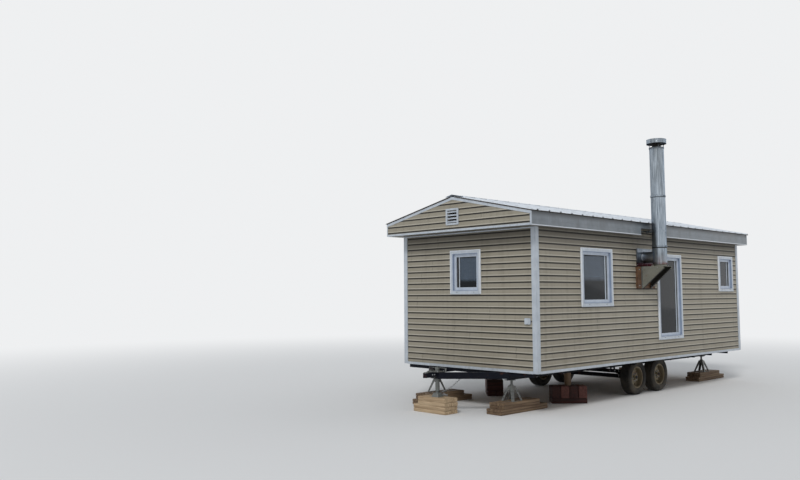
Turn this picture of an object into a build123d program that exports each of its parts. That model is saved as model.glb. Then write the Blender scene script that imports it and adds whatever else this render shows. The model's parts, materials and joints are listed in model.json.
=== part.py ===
from build123d import *
from math import atan2, cos, pi, radians, sin, tan
import os

# A small hunting cabin on a tandem-axle flat-deck trailer, parked on jack stands and timber.
# The body is horizontal vinyl siding under a low gabled roof of ribbed sheet steel, with a
# stainless stove chimney carried on a bracket outside one long wall.
# Millimetres. X runs along the cabin, the chimney wall faces -Y, the tongue points to -X,
# and +Z is up from the level ground. The origin is below the middle of the whole object.

os.makedirs("parts", exist_ok=True)


# Cabin body, measured over the corner posts
cabin_length = 7320
cabin_width = 2930
siding_bottom = 650          # height of the siding's lower edge over the ground
wall_show = 2280             # siding from its lower edge up to the soffit
siding_depth = 14            # siding stands this far out from the sheathing
post_proud = 4               # corner posts stand this far out from the siding
wall_thickness = 112
post_face = 86
trim_height = 38
trim_proud = 5               # bottom trim stands this far out from the siding

# Floor and ceiling
floor_thickness = 118
floor_lift = 14              # the deck's underside over the siding's lower edge
ceiling_thickness = 16

# Roof
roof_pitch = 12.5            # degrees
eave_overhang = 145
left_overhang = 285
right_overhang = 190
fascia_height = 215
fascia_thickness = 24
soffit_thickness = 12
gable_face_thickness = 26
sheet_thickness = 18
sheet_lip = 32               # the sheet runs past the fascia
left_sheet_lip = 22
right_sheet_lip = 90
rib_pitch = 305
rib_height = 19
rib_foot = 58
rib_crest = 24
rib_root = 1                 # the ribs start this far inside the sheet
ridge_cap_width = 150        # along each slope
ridge_cap_thickness = 3
ridge_gap = 40               # each sheet stops this far short of the ridge
rake_height = 46
rake_thickness = 10

# Windows: width, height and head height over the siding's lower edge
window_trim = 62
window_trim_depth = 26
window_jamb = 22
window_sash = 50
window_sash_depth = 40
window_sash_recess = 34      # the sash's face behind the trim's face
glass_thickness = 8
glass_recess = 18            # the glass behind the sash's face
main_window = (960, 980)
tall_window = (930, 1605)
small_window = (672, 738)
head_height = 1995
tall_head_height = 1970
small_head_height = 2005
main_window_x = 1715         # window centres from the left gable's siding
tall_window_x = 4242
small_window_x = 6695
gable_window_y = 1449        # from the front wall's siding
gable_head_height = 1972
back_window_x = 1715
back_small_x = 6200

# Back door
door_width = 864
door_height = 1960
door_centre_x = 3960
door_thickness = 44
door_frame = 38
door_trim = 60
door_trim_depth = 24
door_recess = 30
door_fit = 4

# Gable vents
vent_size = 275
vent_thickness = 24
vent_border = 30
vent_centre = 240            # over the soffit
vent_slats = 4
slat_thickness = 4
slat_tenon = 3               # the slats' ends are let into the frame
slat_angle = 45
vent_hole = 190

# Power inlet on the left gable
inlet_width = 104
inlet_height = 96
inlet_depth = 40
inlet_corner = 12
inlet_y = 165
inlet_z = 805

# Chimney
chimney_x = 3310             # from the left gable's siding
chimney_offset = 310         # pipe axis in front of the front siding
pipe_od = 254
flue_od = 156
tee_bottom = 1748            # heights over the siding's lower edge
tee_height = 312
section_height = 914
band_height = 30
band_thickness = 5
tee_plug = 14
cap_od = 352
cap_height = 86
cap_gap = 62
cap_skin = 4
cap_collar_height = 24
cap_post_count = 4
cap_post_angle = 45
cap_post_width = 26
cap_post_thickness = 4
thimble_width = 560
thimble_height = 318
thimble_thickness = 5
thimble_centre = 1886
wall_pipe_od = 204
wall_hole_clearance = 2
wall_pipe_inside = 60        # the stove collar stands this far into the room

# Chimney bracket and its backing board
bracket_width = 300
bracket_reach = 452          # from the siding plane
bracket_top = 1712
bracket_height = 392
bracket_plate = 5
bracket_flange = 44
bracket_nose = 34
board_width = 620
board_height = 392
board_thickness = 38
collar_ring_od = 226
strap_height = 2355
strap_width = 30
strap_thickness = 4
strap_arm_spread = 96
notch_width = 690
notch_height = 122

# Trailer chassis
rail_height = 152
rail_flange = 64
rail_web = 8
rail_setback = 640           # rail centre behind the siding of each long wall
rail_start = 20              # rail ends from the left gable's siding
rail_end = 6930
cross_height = 76
cross_width = 50
cross_pitch = 760
cross_inset = 110            # outrigger ends inside the siding of the long walls

# Tongue
tongue_reach = 1000          # coupler's nose in front of the left gable's siding
tongue_beam_width = 64
tongue_beam_height = 102
tongue_drop = 10             # tongue's top below the siding's lower edge
coupler_length = 250
coupler_width = 84
coupler_height = 74
coupler_nose = 26
ball_socket = 51
coupler_gap = 0.3
jack_x = 690                 # in front of the left gable's siding
jack_tube_od = 70
jack_screw_od = 50
jack_top = 705
jack_tube_bottom = 340
jack_foot_size = 150
jack_foot_top = 96
jack_foot_height = 60
jack_foot_corner = 12
jack_crank_length = 290      # the folded crank lies across the jack's top
jack_crank_tail = 95         # its short end, towards the back wall
jack_crank_width = 20
jack_crank_thickness = 8
jack_grip_od = 24
jack_grip_height = 52
jack_flange_size = 180
jack_flange_thickness = 12

# Running gear
axle_spacing = 830
axle_centre_x = 3915         # middle between the two axles, from the left gable's siding
axle_od = 76
wheel_diameter = 640
wheel_width = 205
wheel_setback = 300          # outer sidewall behind the siding of the long wall
rim_diameter = 398
rim_width = 168
rim_skin = 6
rim_dish = 58
rim_holes = 8
rim_hole = 36
rim_hole_circle = 262
bead_depth = 12
bead_clearance = 0.3
lip_clearance = 1
sidewall_tuck = 6            # the shoulders lie this far inside the sidewalls
disc_flat = 52
disc_lean = 26
hub_od = 96
hub_length = 88
hub_stand_out = 34           # the hub's outer end in front of the disc
spindle_od = 44
spindle_clearance = 0.3
nut_gap = 0.5
nut_size = 62
nut_thickness = 14
wheel_clearance = 30         # outriggers keep this far from the tyres
spring_length = 640
spring_width = 60
spring_leaves = 4
leaf_thickness = 7
leaf_step = 72               # each leaf is this much shorter at each end than the one above
spring_rise = 60             # the eyes over the middle of the top leaf
spring_seat = 8
spring_seat_length = 96
eye_pin = 14
pin_clearance = 0.3
hanger_width = 84
hanger_length = 44
hanger_plate = 10
hanger_drop = 14
tyre_corner = 34

# Stands and timber
tongue_stack_length = 300    # along the cabin
tongue_upper_width = 600
tongue_lower_width = 700
tongue_lower_shift = 50      # towards the back wall
tongue_lower_height = 118
tongue_upper_height = 130
stand_lower_length = 1220
stand_upper_length = 930
stand_lower_shift = 150      # both layers run on behind the stand
stand_upper_shift = 80
stand_layer_height = 90
stand_layer_width = 300
timber_gap = 4
front_stand_x = 165
rear_stand_x = 6790
stand_base = 240
stand_top = 84
stand_height = 236
stand_wall = 8
stand_leg = 34
stand_leg_top = 22
stand_cap = 60
stand_screw_od = 38
stand_pad_size = 96
stand_pad_thickness = 12
crib_x = 1720
crib_turn = 43.5             # degrees between the row of blocks and the rail
crib_count = 4
crib_block_width = 148
crib_block_length = 300
crib_block_height = 205
crib_base_height = 90
crib_post_size = 90


# Planes and levels worked out from the sizes above
slope = radians(roof_pitch)
left_reach = tongue_reach
right_reach = right_overhang + right_sheet_lip
front_reach = chimney_offset + cap_od / 2
back_reach = eave_overhang + sheet_lip * cos(slope) + (sheet_thickness + rib_height) * sin(slope)
x_left = -(cabin_length + right_reach - left_reach) / 2
x_right = x_left + cabin_length
y_front = -(cabin_width + back_reach - front_reach) / 2
y_back = y_front + cabin_width
y_mid = (y_front + y_back) / 2

wall_left = x_left + siding_depth
wall_right = x_right - siding_depth
wall_front = y_front + siding_depth
wall_back = y_back - siding_depth
room_left = wall_left + wall_thickness
room_right = wall_right - wall_thickness
room_front = wall_front + wall_thickness
room_back = wall_back - wall_thickness

floor_bottom = siding_bottom + floor_lift
floor_top = floor_bottom + floor_thickness
soffit_level = siding_bottom + wall_show
fascia_top = soffit_level + fascia_height
eave_front = y_front - eave_overhang
eave_back = y_back + eave_overhang
ridge_level = fascia_top + (y_mid - eave_front) * tan(slope)
gable_left = x_left - left_overhang
gable_right = x_right + right_overhang
roof_left = gable_left - left_sheet_lip
roof_right = gable_right + right_sheet_lip

chimney_axis_x = x_left + chimney_x
chimney_axis_y = y_front - chimney_offset
tee_level = siding_bottom + tee_bottom
tee_top = tee_level + tee_height
joint_level = tee_top + section_height
pipe_top = joint_level + section_height
bracket_level = siding_bottom + bracket_top
board_front = wall_front - board_thickness - siding_depth

rail_top = floor_bottom
rail_bottom = rail_top - rail_height
rail_front_y = y_front + rail_setback
rail_back_y = y_back - rail_setback
rail_left = x_left + rail_start
rail_right = x_left + rail_end
axle_level = wheel_diameter / 2
axle_xs = (x_left + axle_centre_x - axle_spacing / 2, x_left + axle_centre_x + axle_spacing / 2)
coupler_x = x_left - tongue_reach
coupler_back = coupler_x + coupler_length
tongue_top = siding_bottom - tongue_drop


def save(builder, name):
    builder.part.label = name
    export_step(builder.part, f"parts/{name}.step")


def plan(z):
    return Plane.XY.offset(z)


def facing_front(y):
    # Local x is +X and local y is +Z, and the normal points to -Y
    return Plane(origin=(0, y, 0), x_dir=(1, 0, 0), z_dir=(0, -1, 0))


def facing_back(y):
    # Local x is -X and local y is +Z, and the normal points to +Y
    return Plane(origin=(0, y, 0), x_dir=(-1, 0, 0), z_dir=(0, 1, 0))


def facing_left(x):
    # Local x is -Y and local y is +Z, and the normal points to -X
    return Plane(origin=(x, 0, 0), x_dir=(0, -1, 0), z_dir=(-1, 0, 0))


def facing_right(x):
    # Local x is +Y and local y is +Z, and the normal points to +X
    return Plane(origin=(x, 0, 0), x_dir=(0, 1, 0), z_dir=(1, 0, 0))


def plan_box(x0, x1, y0, y1, height, z):
    # A straight slab or bar, added to the part whose block calls this
    with BuildSketch(plan(z)) as outline:
        with Locations(((x0 + x1) / 2, (y0 + y1) / 2)):
            Rectangle(x1 - x0, y1 - y0)
    extrude(outline.sketch, amount=height)


def window_centre(size, head):
    return siding_bottom + head - size[1] / 2


front_openings = [
    (main_window, x_left + main_window_x, window_centre(main_window, head_height)),
    (tall_window, x_left + tall_window_x, window_centre(tall_window, tall_head_height)),
    (small_window, x_left + small_window_x, window_centre(small_window, small_head_height)),
]
back_openings = [
    (main_window, x_left + back_window_x, window_centre(main_window, head_height)),
    (small_window, x_left + back_small_x, window_centre(small_window, small_head_height)),
]
gable_window_centre = (y_front + gable_window_y, window_centre(small_window, gable_head_height))
door_x = x_left + door_centre_x


def cut_size(size):
    # The hole that the window's jamb fills
    inset = 2 * (window_trim - window_jamb)
    return size[0] - inset, size[1] - inset


# Floor: one deck of joists and boards under the whole footprint
with BuildPart() as floor_deck:
    plan_box(wall_left, wall_right, wall_front, wall_back, floor_thickness, floor_bottom)
save(floor_deck, "floor_deck")


# Long walls: full length, their tops bevelled to the roof's slope
def roof_cut(side):
    # The plane of the sheet's underside, side -1 for the front slope and +1 for the back
    edge = eave_front if side < 0 else eave_back
    return Plane(origin=(0, edge, fascia_top), x_dir=(1, 0, 0), z_dir=(0, side * sin(slope), cos(slope)))


def roof_height(y):
    return fascia_top + (min(y - eave_front, eave_back - y)) * tan(slope)


with BuildPart() as front_wall:
    with BuildSketch(facing_front(wall_front)):
        with Locations(((wall_left + wall_right) / 2, (floor_top + ridge_level) / 2)):
            Rectangle(wall_right - wall_left, ridge_level - floor_top)
        for size, x, z in front_openings:
            with Locations((x, z)):
                Rectangle(*cut_size(size), mode=Mode.SUBTRACT)
        with Locations((chimney_axis_x, siding_bottom + thimble_centre)):
            Circle(wall_pipe_od / 2 + wall_hole_clearance, mode=Mode.SUBTRACT)
    extrude(amount=-wall_thickness)
    split(bisect_by=roof_cut(-1), keep=Keep.BOTTOM)
save(front_wall, "front_wall")

door_hole_width = door_width + 2 * (door_frame + door_fit)
door_hole_height = door_height + door_frame + door_fit

with BuildPart() as back_wall:
    with BuildSketch(facing_back(wall_back)):
        with Locations((-(wall_left + wall_right) / 2, (floor_top + ridge_level) / 2)):
            Rectangle(wall_right - wall_left, ridge_level - floor_top)
        for size, x, z in back_openings:
            with Locations((-x, z)):
                Rectangle(*cut_size(size), mode=Mode.SUBTRACT)
        with Locations((-door_x, floor_top + door_hole_height / 2)):
            Rectangle(door_hole_width, door_hole_height, mode=Mode.SUBTRACT)
    extrude(amount=-wall_thickness)
    split(bisect_by=roof_cut(1), keep=Keep.BOTTOM)
save(back_wall, "back_wall")


# Gable walls: between the long walls, up to the sheet's underside
def gable_outline(bottom, y0, y1, x_sign):
    # Local x of a gable plane is x_sign times the row's Y
    points = [
        (x_sign * y0, bottom),
        (x_sign * y0, roof_height(y0)),
        (x_sign * y_mid, ridge_level),
        (x_sign * y1, roof_height(y1)),
        (x_sign * y1, bottom),
    ]
    Polygon(*points, align=None)


def gable_wall(plane, x_sign):
    with BuildPart() as wall:
        with BuildSketch(plane):
            gable_outline(floor_top, room_front, room_back, x_sign)
            with Locations((x_sign * gable_window_centre[0], gable_window_centre[1])):
                Rectangle(*cut_size(small_window), mode=Mode.SUBTRACT)
        extrude(amount=-wall_thickness)
    return wall


left_gable_wall = gable_wall(facing_left(wall_left), -1)
save(left_gable_wall, "left_gable_wall")
right_gable_wall = gable_wall(facing_right(wall_right), 1)
save(right_gable_wall, "right_gable_wall")

# Ceiling under the closed roof space
with BuildPart() as ceiling:
    plan_box(room_left, room_right, room_front, room_back, ceiling_thickness, soffit_level)
save(ceiling, "ceiling")


# Boxed eaves: fascia boards, soffits and the sided gable faces
def fascia(y_outer, thickness, notched):
    with BuildPart() as board:
        with BuildSketch(facing_front(y_outer)):
            with Locations(((gable_left + gable_right) / 2, soffit_level + fascia_height / 2)):
                Rectangle(gable_right - gable_left, fascia_height)
            if notched:
                with Locations((chimney_axis_x, soffit_level + notch_height / 2)):
                    Rectangle(notch_width, notch_height, mode=Mode.SUBTRACT)
        extrude(amount=-thickness)
        side = -1 if thickness > 0 else 1
        split(bisect_by=roof_cut(side), keep=Keep.BOTTOM)
    return board


front_fascia = fascia(eave_front, fascia_thickness, True)
save(front_fascia, "front_fascia")
back_fascia = fascia(eave_back, -fascia_thickness, False)
save(back_fascia, "back_fascia")

face_left = gable_left + gable_face_thickness
face_right = gable_right - gable_face_thickness

with BuildPart() as eave_soffits:
    plan_box(face_left, face_right, eave_front + fascia_thickness, wall_front,
             soffit_thickness, soffit_level)
    with BuildSketch(plan(soffit_level)):
        with Locations((chimney_axis_x, (eave_front + fascia_thickness + wall_front) / 2)):
            Rectangle(notch_width, wall_front - eave_front - fascia_thickness)
    extrude(amount=soffit_thickness, mode=Mode.SUBTRACT)
    plan_box(face_left, face_right, wall_back, eave_back - fascia_thickness,
             soffit_thickness, soffit_level)
save(eave_soffits, "eave_soffits")

with BuildPart() as gable_soffits:
    plan_box(face_left, wall_left, wall_front, wall_back, soffit_thickness, soffit_level)
    plan_box(wall_right, face_right, wall_front, wall_back, soffit_thickness, soffit_level)
save(gable_soffits, "gable_soffits")

vent_level = soffit_level + vent_centre


with BuildPart() as gable_faces:
    for plane, x_sign in ((facing_left(gable_left), -1), (facing_right(gable_right), 1)):
        with BuildSketch(plane):
            gable_outline(soffit_level, eave_front + fascia_thickness,
                          eave_back - fascia_thickness, x_sign)
            with Locations((x_sign * y_mid, vent_level)):
                Rectangle(vent_hole, vent_hole, mode=Mode.SUBTRACT)
        extrude(amount=-gable_face_thickness)
save(gable_faces, "gable_faces")


# Roof: two ribbed slopes, each drawn in its section along the cabin and run up the slope
roof_length = roof_right - roof_left
slope_run = (y_mid - eave_front) / cos(slope) + sheet_lip - ridge_gap
rib_count = int((roof_length - rib_foot) // rib_pitch) + 1


def roof_slope(side):
    down = Vector(0, side * cos(slope), -sin(slope))
    outward = Vector(0, side * sin(slope), cos(slope))
    edge_y = eave_front if side < 0 else eave_back
    foot = Vector((roof_left + roof_right) / 2, edge_y, fascia_top) + down * sheet_lip
    section = Plane(origin=foot, x_dir=(side, 0, 0), z_dir=down)
    up_sign = 1 if section.y_dir.dot(outward) > 0 else -1
    with BuildPart() as slope_part:
        with BuildSketch(section):
            with Locations((0, up_sign * sheet_thickness / 2)):
                Rectangle(roof_length, sheet_thickness)
            first = -(rib_count - 1) * rib_pitch / 2
            for k in range(rib_count):
                x = first + k * rib_pitch
                base = up_sign * (sheet_thickness - rib_root)
                crest = up_sign * (sheet_thickness + rib_height)
                with BuildLine():
                    Polyline(
                        (x - rib_foot / 2, base),
                        (x - rib_crest / 2, crest),
                        (x + rib_crest / 2, crest),
                        (x + rib_foot / 2, base),
                        close=True,
                    )
                make_face()
        extrude(amount=-slope_run)
    return slope_part


front_roof = roof_slope(-1)
save(front_roof, "front_roof")
back_roof = roof_slope(1)
save(back_roof, "back_roof")

cap_seat = (sheet_thickness + rib_height) / cos(slope)

with BuildPart() as ridge_cap:
    with BuildSketch(facing_right(roof_left)):
        top = ridge_level + cap_seat
        drop = ridge_cap_width * sin(slope)
        reach = ridge_cap_width * cos(slope)
        rise = ridge_cap_thickness / cos(slope)
        with BuildLine():
            Polyline(
                (y_mid - reach, top - drop),
                (y_mid, top),
                (y_mid + reach, top - drop),
                (y_mid + reach, top - drop + rise),
                (y_mid, top + rise),
                (y_mid - reach, top - drop + rise),
                close=True,
            )
        make_face()
    extrude(amount=roof_length)
save(ridge_cap, "ridge_cap")


def rake_outline(x_sign):
    # The thin trim that follows the roof's edge on a gable face
    crown = [(eave_front, roof_height(eave_front)), (y_mid, ridge_level), (eave_back, roof_height(eave_back))]
    upper = [(x_sign * y, z) for y, z in crown]
    lower = [(x_sign * y, z - rake_height) for y, z in reversed(crown)]
    Polygon(*upper, *lower, align=None)


with BuildPart() as rake_trims:
    with BuildSketch(facing_left(gable_left)):
        rake_outline(-1)
    extrude(amount=rake_thickness)
    with BuildSketch(facing_right(gable_right)):
        rake_outline(1)
    extrude(amount=rake_thickness)
save(rake_trims, "rake_trims")


# Corner posts: an outside-corner angle at each corner, from the bottom trim to the soffit
post_height = soffit_level - siding_bottom

with BuildPart() as corner_posts:
    for sx, x in ((-1, x_left), (1, x_right)):
        for sy, y in ((-1, y_front), (1, y_back)):
            out_x = x + sx * post_proud
            out_y = y + sy * post_proud
            in_x = wall_left if sx < 0 else wall_right
            in_y = wall_front if sy < 0 else wall_back
            with BuildSketch(plan(siding_bottom)):
                with BuildLine():
                    Polyline(
                        (out_x, out_y),
                        (out_x - sx * post_face, out_y),
                        (out_x - sx * post_face, in_y),
                        (in_x, in_y),
                        (in_x, out_y - sy * post_face),
                        (out_x, out_y - sy * post_face),
                        close=True,
                    )
                make_face()
            extrude(amount=post_height)
save(corner_posts, "corner_posts")

# Bottom trim: a thin channel along the lower edge of each wall, between the corner posts
with BuildPart() as base_trim:
    trim_out = trim_proud
    post_inner = post_face - post_proud
    plan_box(x_left + post_inner, x_right - post_inner, y_front - trim_out, wall_front,
             trim_height, siding_bottom)
    plan_box(x_left + post_inner, x_right - post_inner, wall_back, y_back + trim_out,
             trim_height, siding_bottom)
    plan_box(x_left - trim_out, wall_left, y_front + post_inner, y_back - post_inner,
             trim_height, siding_bottom)
    plan_box(wall_right, x_right + trim_out, y_front + post_inner, y_back - post_inner,
             trim_height, siding_bottom)
save(base_trim, "base_trim")


# Windows: one white frame each, with trim, jamb and sash, and panes kept by wall
def window_frame(plane, u, z, size):
    width, height = size
    hole_w, hole_h = cut_size(size)
    inner_w = hole_w - 2 * window_jamb
    inner_h = hole_h - 2 * window_jamb
    trim_face = window_trim_depth
    sash_face = trim_face - window_sash_recess
    with BuildPart() as frame:
        with BuildSketch(plane):
            with Locations((u, z)):
                Rectangle(width, height)
                Rectangle(inner_w, inner_h, mode=Mode.SUBTRACT)
        extrude(amount=trim_face)
        with BuildSketch(plane):
            with Locations((u, z)):
                Rectangle(hole_w, hole_h)
                Rectangle(inner_w, inner_h, mode=Mode.SUBTRACT)
        extrude(amount=-wall_thickness)
        with BuildSketch(plane.offset(sash_face)):
            with Locations((u, z)):
                Rectangle(inner_w, inner_h)
                Rectangle(inner_w - 2 * window_sash, inner_h - 2 * window_sash, mode=Mode.SUBTRACT)
        extrude(amount=-window_sash_depth)
    return frame


def pane(plane, u, z, size):
    # Added to the glass node whose block calls this
    hole_w, hole_h = cut_size(size)
    inset = 2 * (window_jamb + window_sash)
    with BuildSketch(plane.offset(window_trim_depth - window_sash_recess - glass_recess)) as outline:
        with Locations((u, z)):
            Rectangle(hole_w - inset, hole_h - inset)
    extrude(outline.sketch, amount=-glass_thickness)


with BuildPart() as front_windows:
    for size, x, z in front_openings:
        add(window_frame(facing_front(wall_front), x, z, size).part)
save(front_windows, "front_windows")

with BuildPart() as back_windows:
    for size, x, z in back_openings:
        add(window_frame(facing_back(wall_back), -x, z, size).part)
save(back_windows, "back_windows")

gable_y, gable_z = gable_window_centre

with BuildPart() as gable_windows:
    add(window_frame(facing_left(wall_left), -gable_y, gable_z, small_window).part)
    add(window_frame(facing_right(wall_right), gable_y, gable_z, small_window).part)
save(gable_windows, "gable_windows")

with BuildPart() as window_glass:
    for size, x, z in front_openings:
        pane(facing_front(wall_front), x, z, size)
    for size, x, z in back_openings:
        pane(facing_back(wall_back), -x, z, size)
    pane(facing_left(wall_left), -gable_y, gable_z, small_window)
    pane(facing_right(wall_right), gable_y, gable_z, small_window)
save(window_glass, "window_glass")


# Back door: a plain closed slab in its frame, on the side that the photograph doesn't show
with BuildPart() as door_frame_part:
    with BuildSketch(facing_back(wall_back)):
        with Locations((-door_x, floor_top + door_hole_height / 2)):
            Rectangle(door_hole_width, door_hole_height)
        with Locations((-door_x, floor_top + (door_height + door_fit) / 2)):
            Rectangle(door_width + 2 * door_fit, door_height + door_fit, mode=Mode.SUBTRACT)
    extrude(amount=-wall_thickness)
    with BuildSketch(facing_back(wall_back)):
        with Locations((-door_x, floor_top + (door_hole_height + door_trim - door_frame) / 2)):
            Rectangle(door_hole_width + 2 * (door_trim - door_frame),
                      door_hole_height + door_trim - door_frame)
        with Locations((-door_x, floor_top + (door_height + door_fit) / 2)):
            Rectangle(door_width + 2 * door_fit, door_height + door_fit, mode=Mode.SUBTRACT)
    extrude(amount=door_trim_depth)
save(door_frame_part, "door_frame")

with BuildPart() as back_door:
    with BuildSketch(facing_back(wall_back - door_recess)):
        with Locations((-door_x, floor_top + door_height / 2)):
            Rectangle(door_width, door_height)
    extrude(amount=-door_thickness)
save(back_door, "back_door")


# Gable vents: a square frame with slanted slats
vent_opening = vent_size - 2 * vent_border
slat_pitch = vent_opening / vent_slats
slat_run = vent_thickness / cos(radians(slat_angle)) + slat_thickness

with BuildPart() as gable_vents:
    for plane, u in ((facing_left(gable_left), -y_mid), (facing_right(gable_right), y_mid)):
        with BuildPart(mode=Mode.PRIVATE) as slats:
            for k in range(vent_slats):
                z = vent_level - vent_opening / 2 + slat_pitch * (k + 0.5)
                centre = plane.origin + plane.x_dir * u + Vector(0, 0, z) + plane.z_dir * (vent_thickness / 2)
                outward = plane.z_dir * cos(radians(slat_angle)) - Vector(0, 0, sin(radians(slat_angle)))
                leaning = Plane(origin=centre, x_dir=plane.x_dir, z_dir=outward)
                with BuildSketch(leaning.offset(-slat_run / 2)):
                    Rectangle(vent_opening + 2 * slat_tenon, slat_thickness)
                extrude(amount=slat_run)
            with BuildSketch(plane):
                with Locations((u, vent_level)):
                    Rectangle(vent_size, vent_size)
            extrude(amount=vent_thickness, mode=Mode.INTERSECT)
        with BuildSketch(plane):
            with Locations((u, vent_level)):
                Rectangle(vent_size, vent_size)
                Rectangle(vent_opening, vent_opening, mode=Mode.SUBTRACT)
        extrude(amount=vent_thickness)
        add(slats.part)
save(gable_vents, "gable_vents")

with BuildPart() as power_inlet:
    with BuildSketch(facing_left(wall_left)):
        with Locations((-(y_front + inlet_y), siding_bottom + inlet_z)):
            RectangleRounded(inlet_width, inlet_height, inlet_corner)
    extrude(amount=inlet_depth)
save(power_inlet, "power_inlet")


# Chimney: insulated tee, two straight sections, locking bands and a rain cap
flue_centre = (chimney_axis_x, chimney_axis_y)

with BuildPart() as chimney_tee:
    with BuildSketch(plan(tee_level)):
        with Locations(flue_centre):
            Circle(pipe_od / 2)
    extrude(amount=tee_height)
    with BuildSketch(facing_back(chimney_axis_y)):
        with Locations((-chimney_axis_x, siding_bottom + thimble_centre)):
            Circle(wall_pipe_od / 2)
    extrude(amount=y_front - thimble_thickness - chimney_axis_y)
    with BuildSketch(plan(tee_level + tee_plug)):
        with Locations(flue_centre):
            Circle(flue_od / 2)
    extrude(amount=tee_height, mode=Mode.SUBTRACT)
    with BuildSketch(facing_back(chimney_axis_y)):
        with Locations((-chimney_axis_x, siding_bottom + thimble_centre)):
            Circle(flue_od / 2)
    extrude(amount=chimney_offset, mode=Mode.SUBTRACT)
save(chimney_tee, "chimney_tee")


def straight_section(bottom):
    # A straight length with the locking band of its lower joint
    with BuildPart() as section:
        with BuildSketch(plan(bottom)):
            with Locations(flue_centre):
                Circle(pipe_od / 2)
                Circle(flue_od / 2, mode=Mode.SUBTRACT)
        extrude(amount=section_height)
        with BuildSketch(plan(bottom)):
            with Locations(flue_centre):
                Circle(pipe_od / 2 + band_thickness)
                Circle(flue_od / 2, mode=Mode.SUBTRACT)
        extrude(amount=band_height)
    return section


save(straight_section(tee_top), "chimney_lower_section")
save(straight_section(joint_level), "chimney_upper_section")

with BuildPart() as rain_cap:
    cap_bottom = pipe_top + cap_gap
    with BuildSketch(plan(cap_bottom)):
        with Locations(flue_centre):
            Circle(cap_od / 2)
            Circle(cap_od / 2 - cap_skin, mode=Mode.SUBTRACT)
    extrude(amount=cap_height)
    with BuildSketch(plan(cap_bottom + cap_height - cap_skin)):
        with Locations(flue_centre):
            Circle(cap_od / 2)
    extrude(amount=cap_skin)
    with BuildSketch(plan(pipe_top - cap_collar_height)):
        with Locations(flue_centre):
            Circle(pipe_od / 2 + cap_skin)
            Circle(pipe_od / 2, mode=Mode.SUBTRACT)
    extrude(amount=cap_collar_height)
    with BuildSketch(plan(pipe_top - cap_collar_height)):
        with Locations(flue_centre):
            with PolarLocations(pipe_od / 2 + cap_skin / 2, cap_post_count, start_angle=cap_post_angle):
                Rectangle(cap_post_thickness, cap_post_width)
    extrude(amount=cap_collar_height + cap_gap + cap_height - cap_skin)
save(rain_cap, "rain_cap")

# Thimble: a cover plate on the wall with the insulated pipe through it into the room
with BuildPart() as wall_thimble:
    with BuildSketch(facing_front(wall_front)):
        with Locations((chimney_axis_x, siding_bottom + thimble_centre)):
            Rectangle(thimble_width, thimble_height)
    extrude(amount=siding_depth + thimble_thickness)
    with BuildSketch(facing_back(wall_front)):
        with Locations((-chimney_axis_x, siding_bottom + thimble_centre)):
            Circle(wall_pipe_od / 2)
    extrude(amount=wall_thickness + wall_pipe_inside)
    with BuildSketch(facing_back(y_front - thimble_thickness)):
        with Locations((-chimney_axis_x, siding_bottom + thimble_centre)):
            Circle(flue_od / 2)
    extrude(amount=chimney_offset + wall_pipe_inside, mode=Mode.SUBTRACT)
save(wall_thimble, "wall_thimble")

# Bracket: two gussets and a shelf on a backing board, under the tee
with BuildPart() as backing_board:
    with BuildSketch(facing_front(wall_front)):
        with Locations((chimney_axis_x, bracket_level - board_height / 2)):
            Rectangle(board_width, board_height)
    extrude(amount=siding_depth + board_thickness)
save(backing_board, "backing_board")

gusset_front = y_front - bracket_reach
gusset_xs = (chimney_axis_x - bracket_width / 2, chimney_axis_x + bracket_width / 2)

with BuildPart() as chimney_bracket:
    for x in gusset_xs:
        with BuildSketch(facing_right(x - bracket_plate / 2)):
            with BuildLine():
                Polyline(
                    (board_front, bracket_level),
                    (gusset_front, bracket_level),
                    (gusset_front, bracket_level - bracket_nose),
                    (board_front, bracket_level - bracket_height),
                    close=True,
                )
            make_face()
        extrude(amount=bracket_plate)
    plan_box(gusset_xs[0] - bracket_plate / 2, gusset_xs[1] + bracket_plate / 2,
             gusset_front, board_front, bracket_plate, bracket_level)
    brace_angle = atan2(bracket_height - bracket_nose, board_front - gusset_front)
    for inward, x in ((1, gusset_xs[0]), (-1, gusset_xs[1])):
        x0 = min(x, x + inward * bracket_flange)
        with BuildSketch(facing_right(x0)):
            with BuildLine():
                Polyline(
                    (gusset_front, bracket_level - bracket_nose),
                    (board_front, bracket_level - bracket_height),
                    (board_front, bracket_level - bracket_height + bracket_plate / cos(brace_angle)),
                    (gusset_front, bracket_level - bracket_nose + bracket_plate / cos(brace_angle)),
                    close=True,
                )
            make_face()
        extrude(amount=bracket_flange)
    with BuildSketch(plan(bracket_level + bracket_plate)):
        with Locations(flue_centre):
            Circle(collar_ring_od / 2)
    extrude(amount=tee_level - bracket_level - bracket_plate)
save(chimney_bracket, "chimney_bracket")

# Wall strap: a band round the pipe with two arms through the fascia's notch
with BuildPart() as wall_strap:
    strap_level = siding_bottom + strap_height
    with BuildSketch(plan(strap_level - strap_width / 2)):
        with Locations(flue_centre):
            Circle(pipe_od / 2 + strap_thickness)
            Circle(pipe_od / 2, mode=Mode.SUBTRACT)
    extrude(amount=strap_width)
    for sx in (-1, 1):
        arm_x = chimney_axis_x + sx * strap_arm_spread
        arm_y = chimney_axis_y + ((pipe_od / 2) ** 2 - strap_arm_spread ** 2) ** 0.5
        plan_box(arm_x - strap_thickness / 2, arm_x + strap_thickness / 2,
                 arm_y + strap_thickness, wall_front, strap_width, strap_level - strap_width / 2)
save(wall_strap, "wall_strap")


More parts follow.
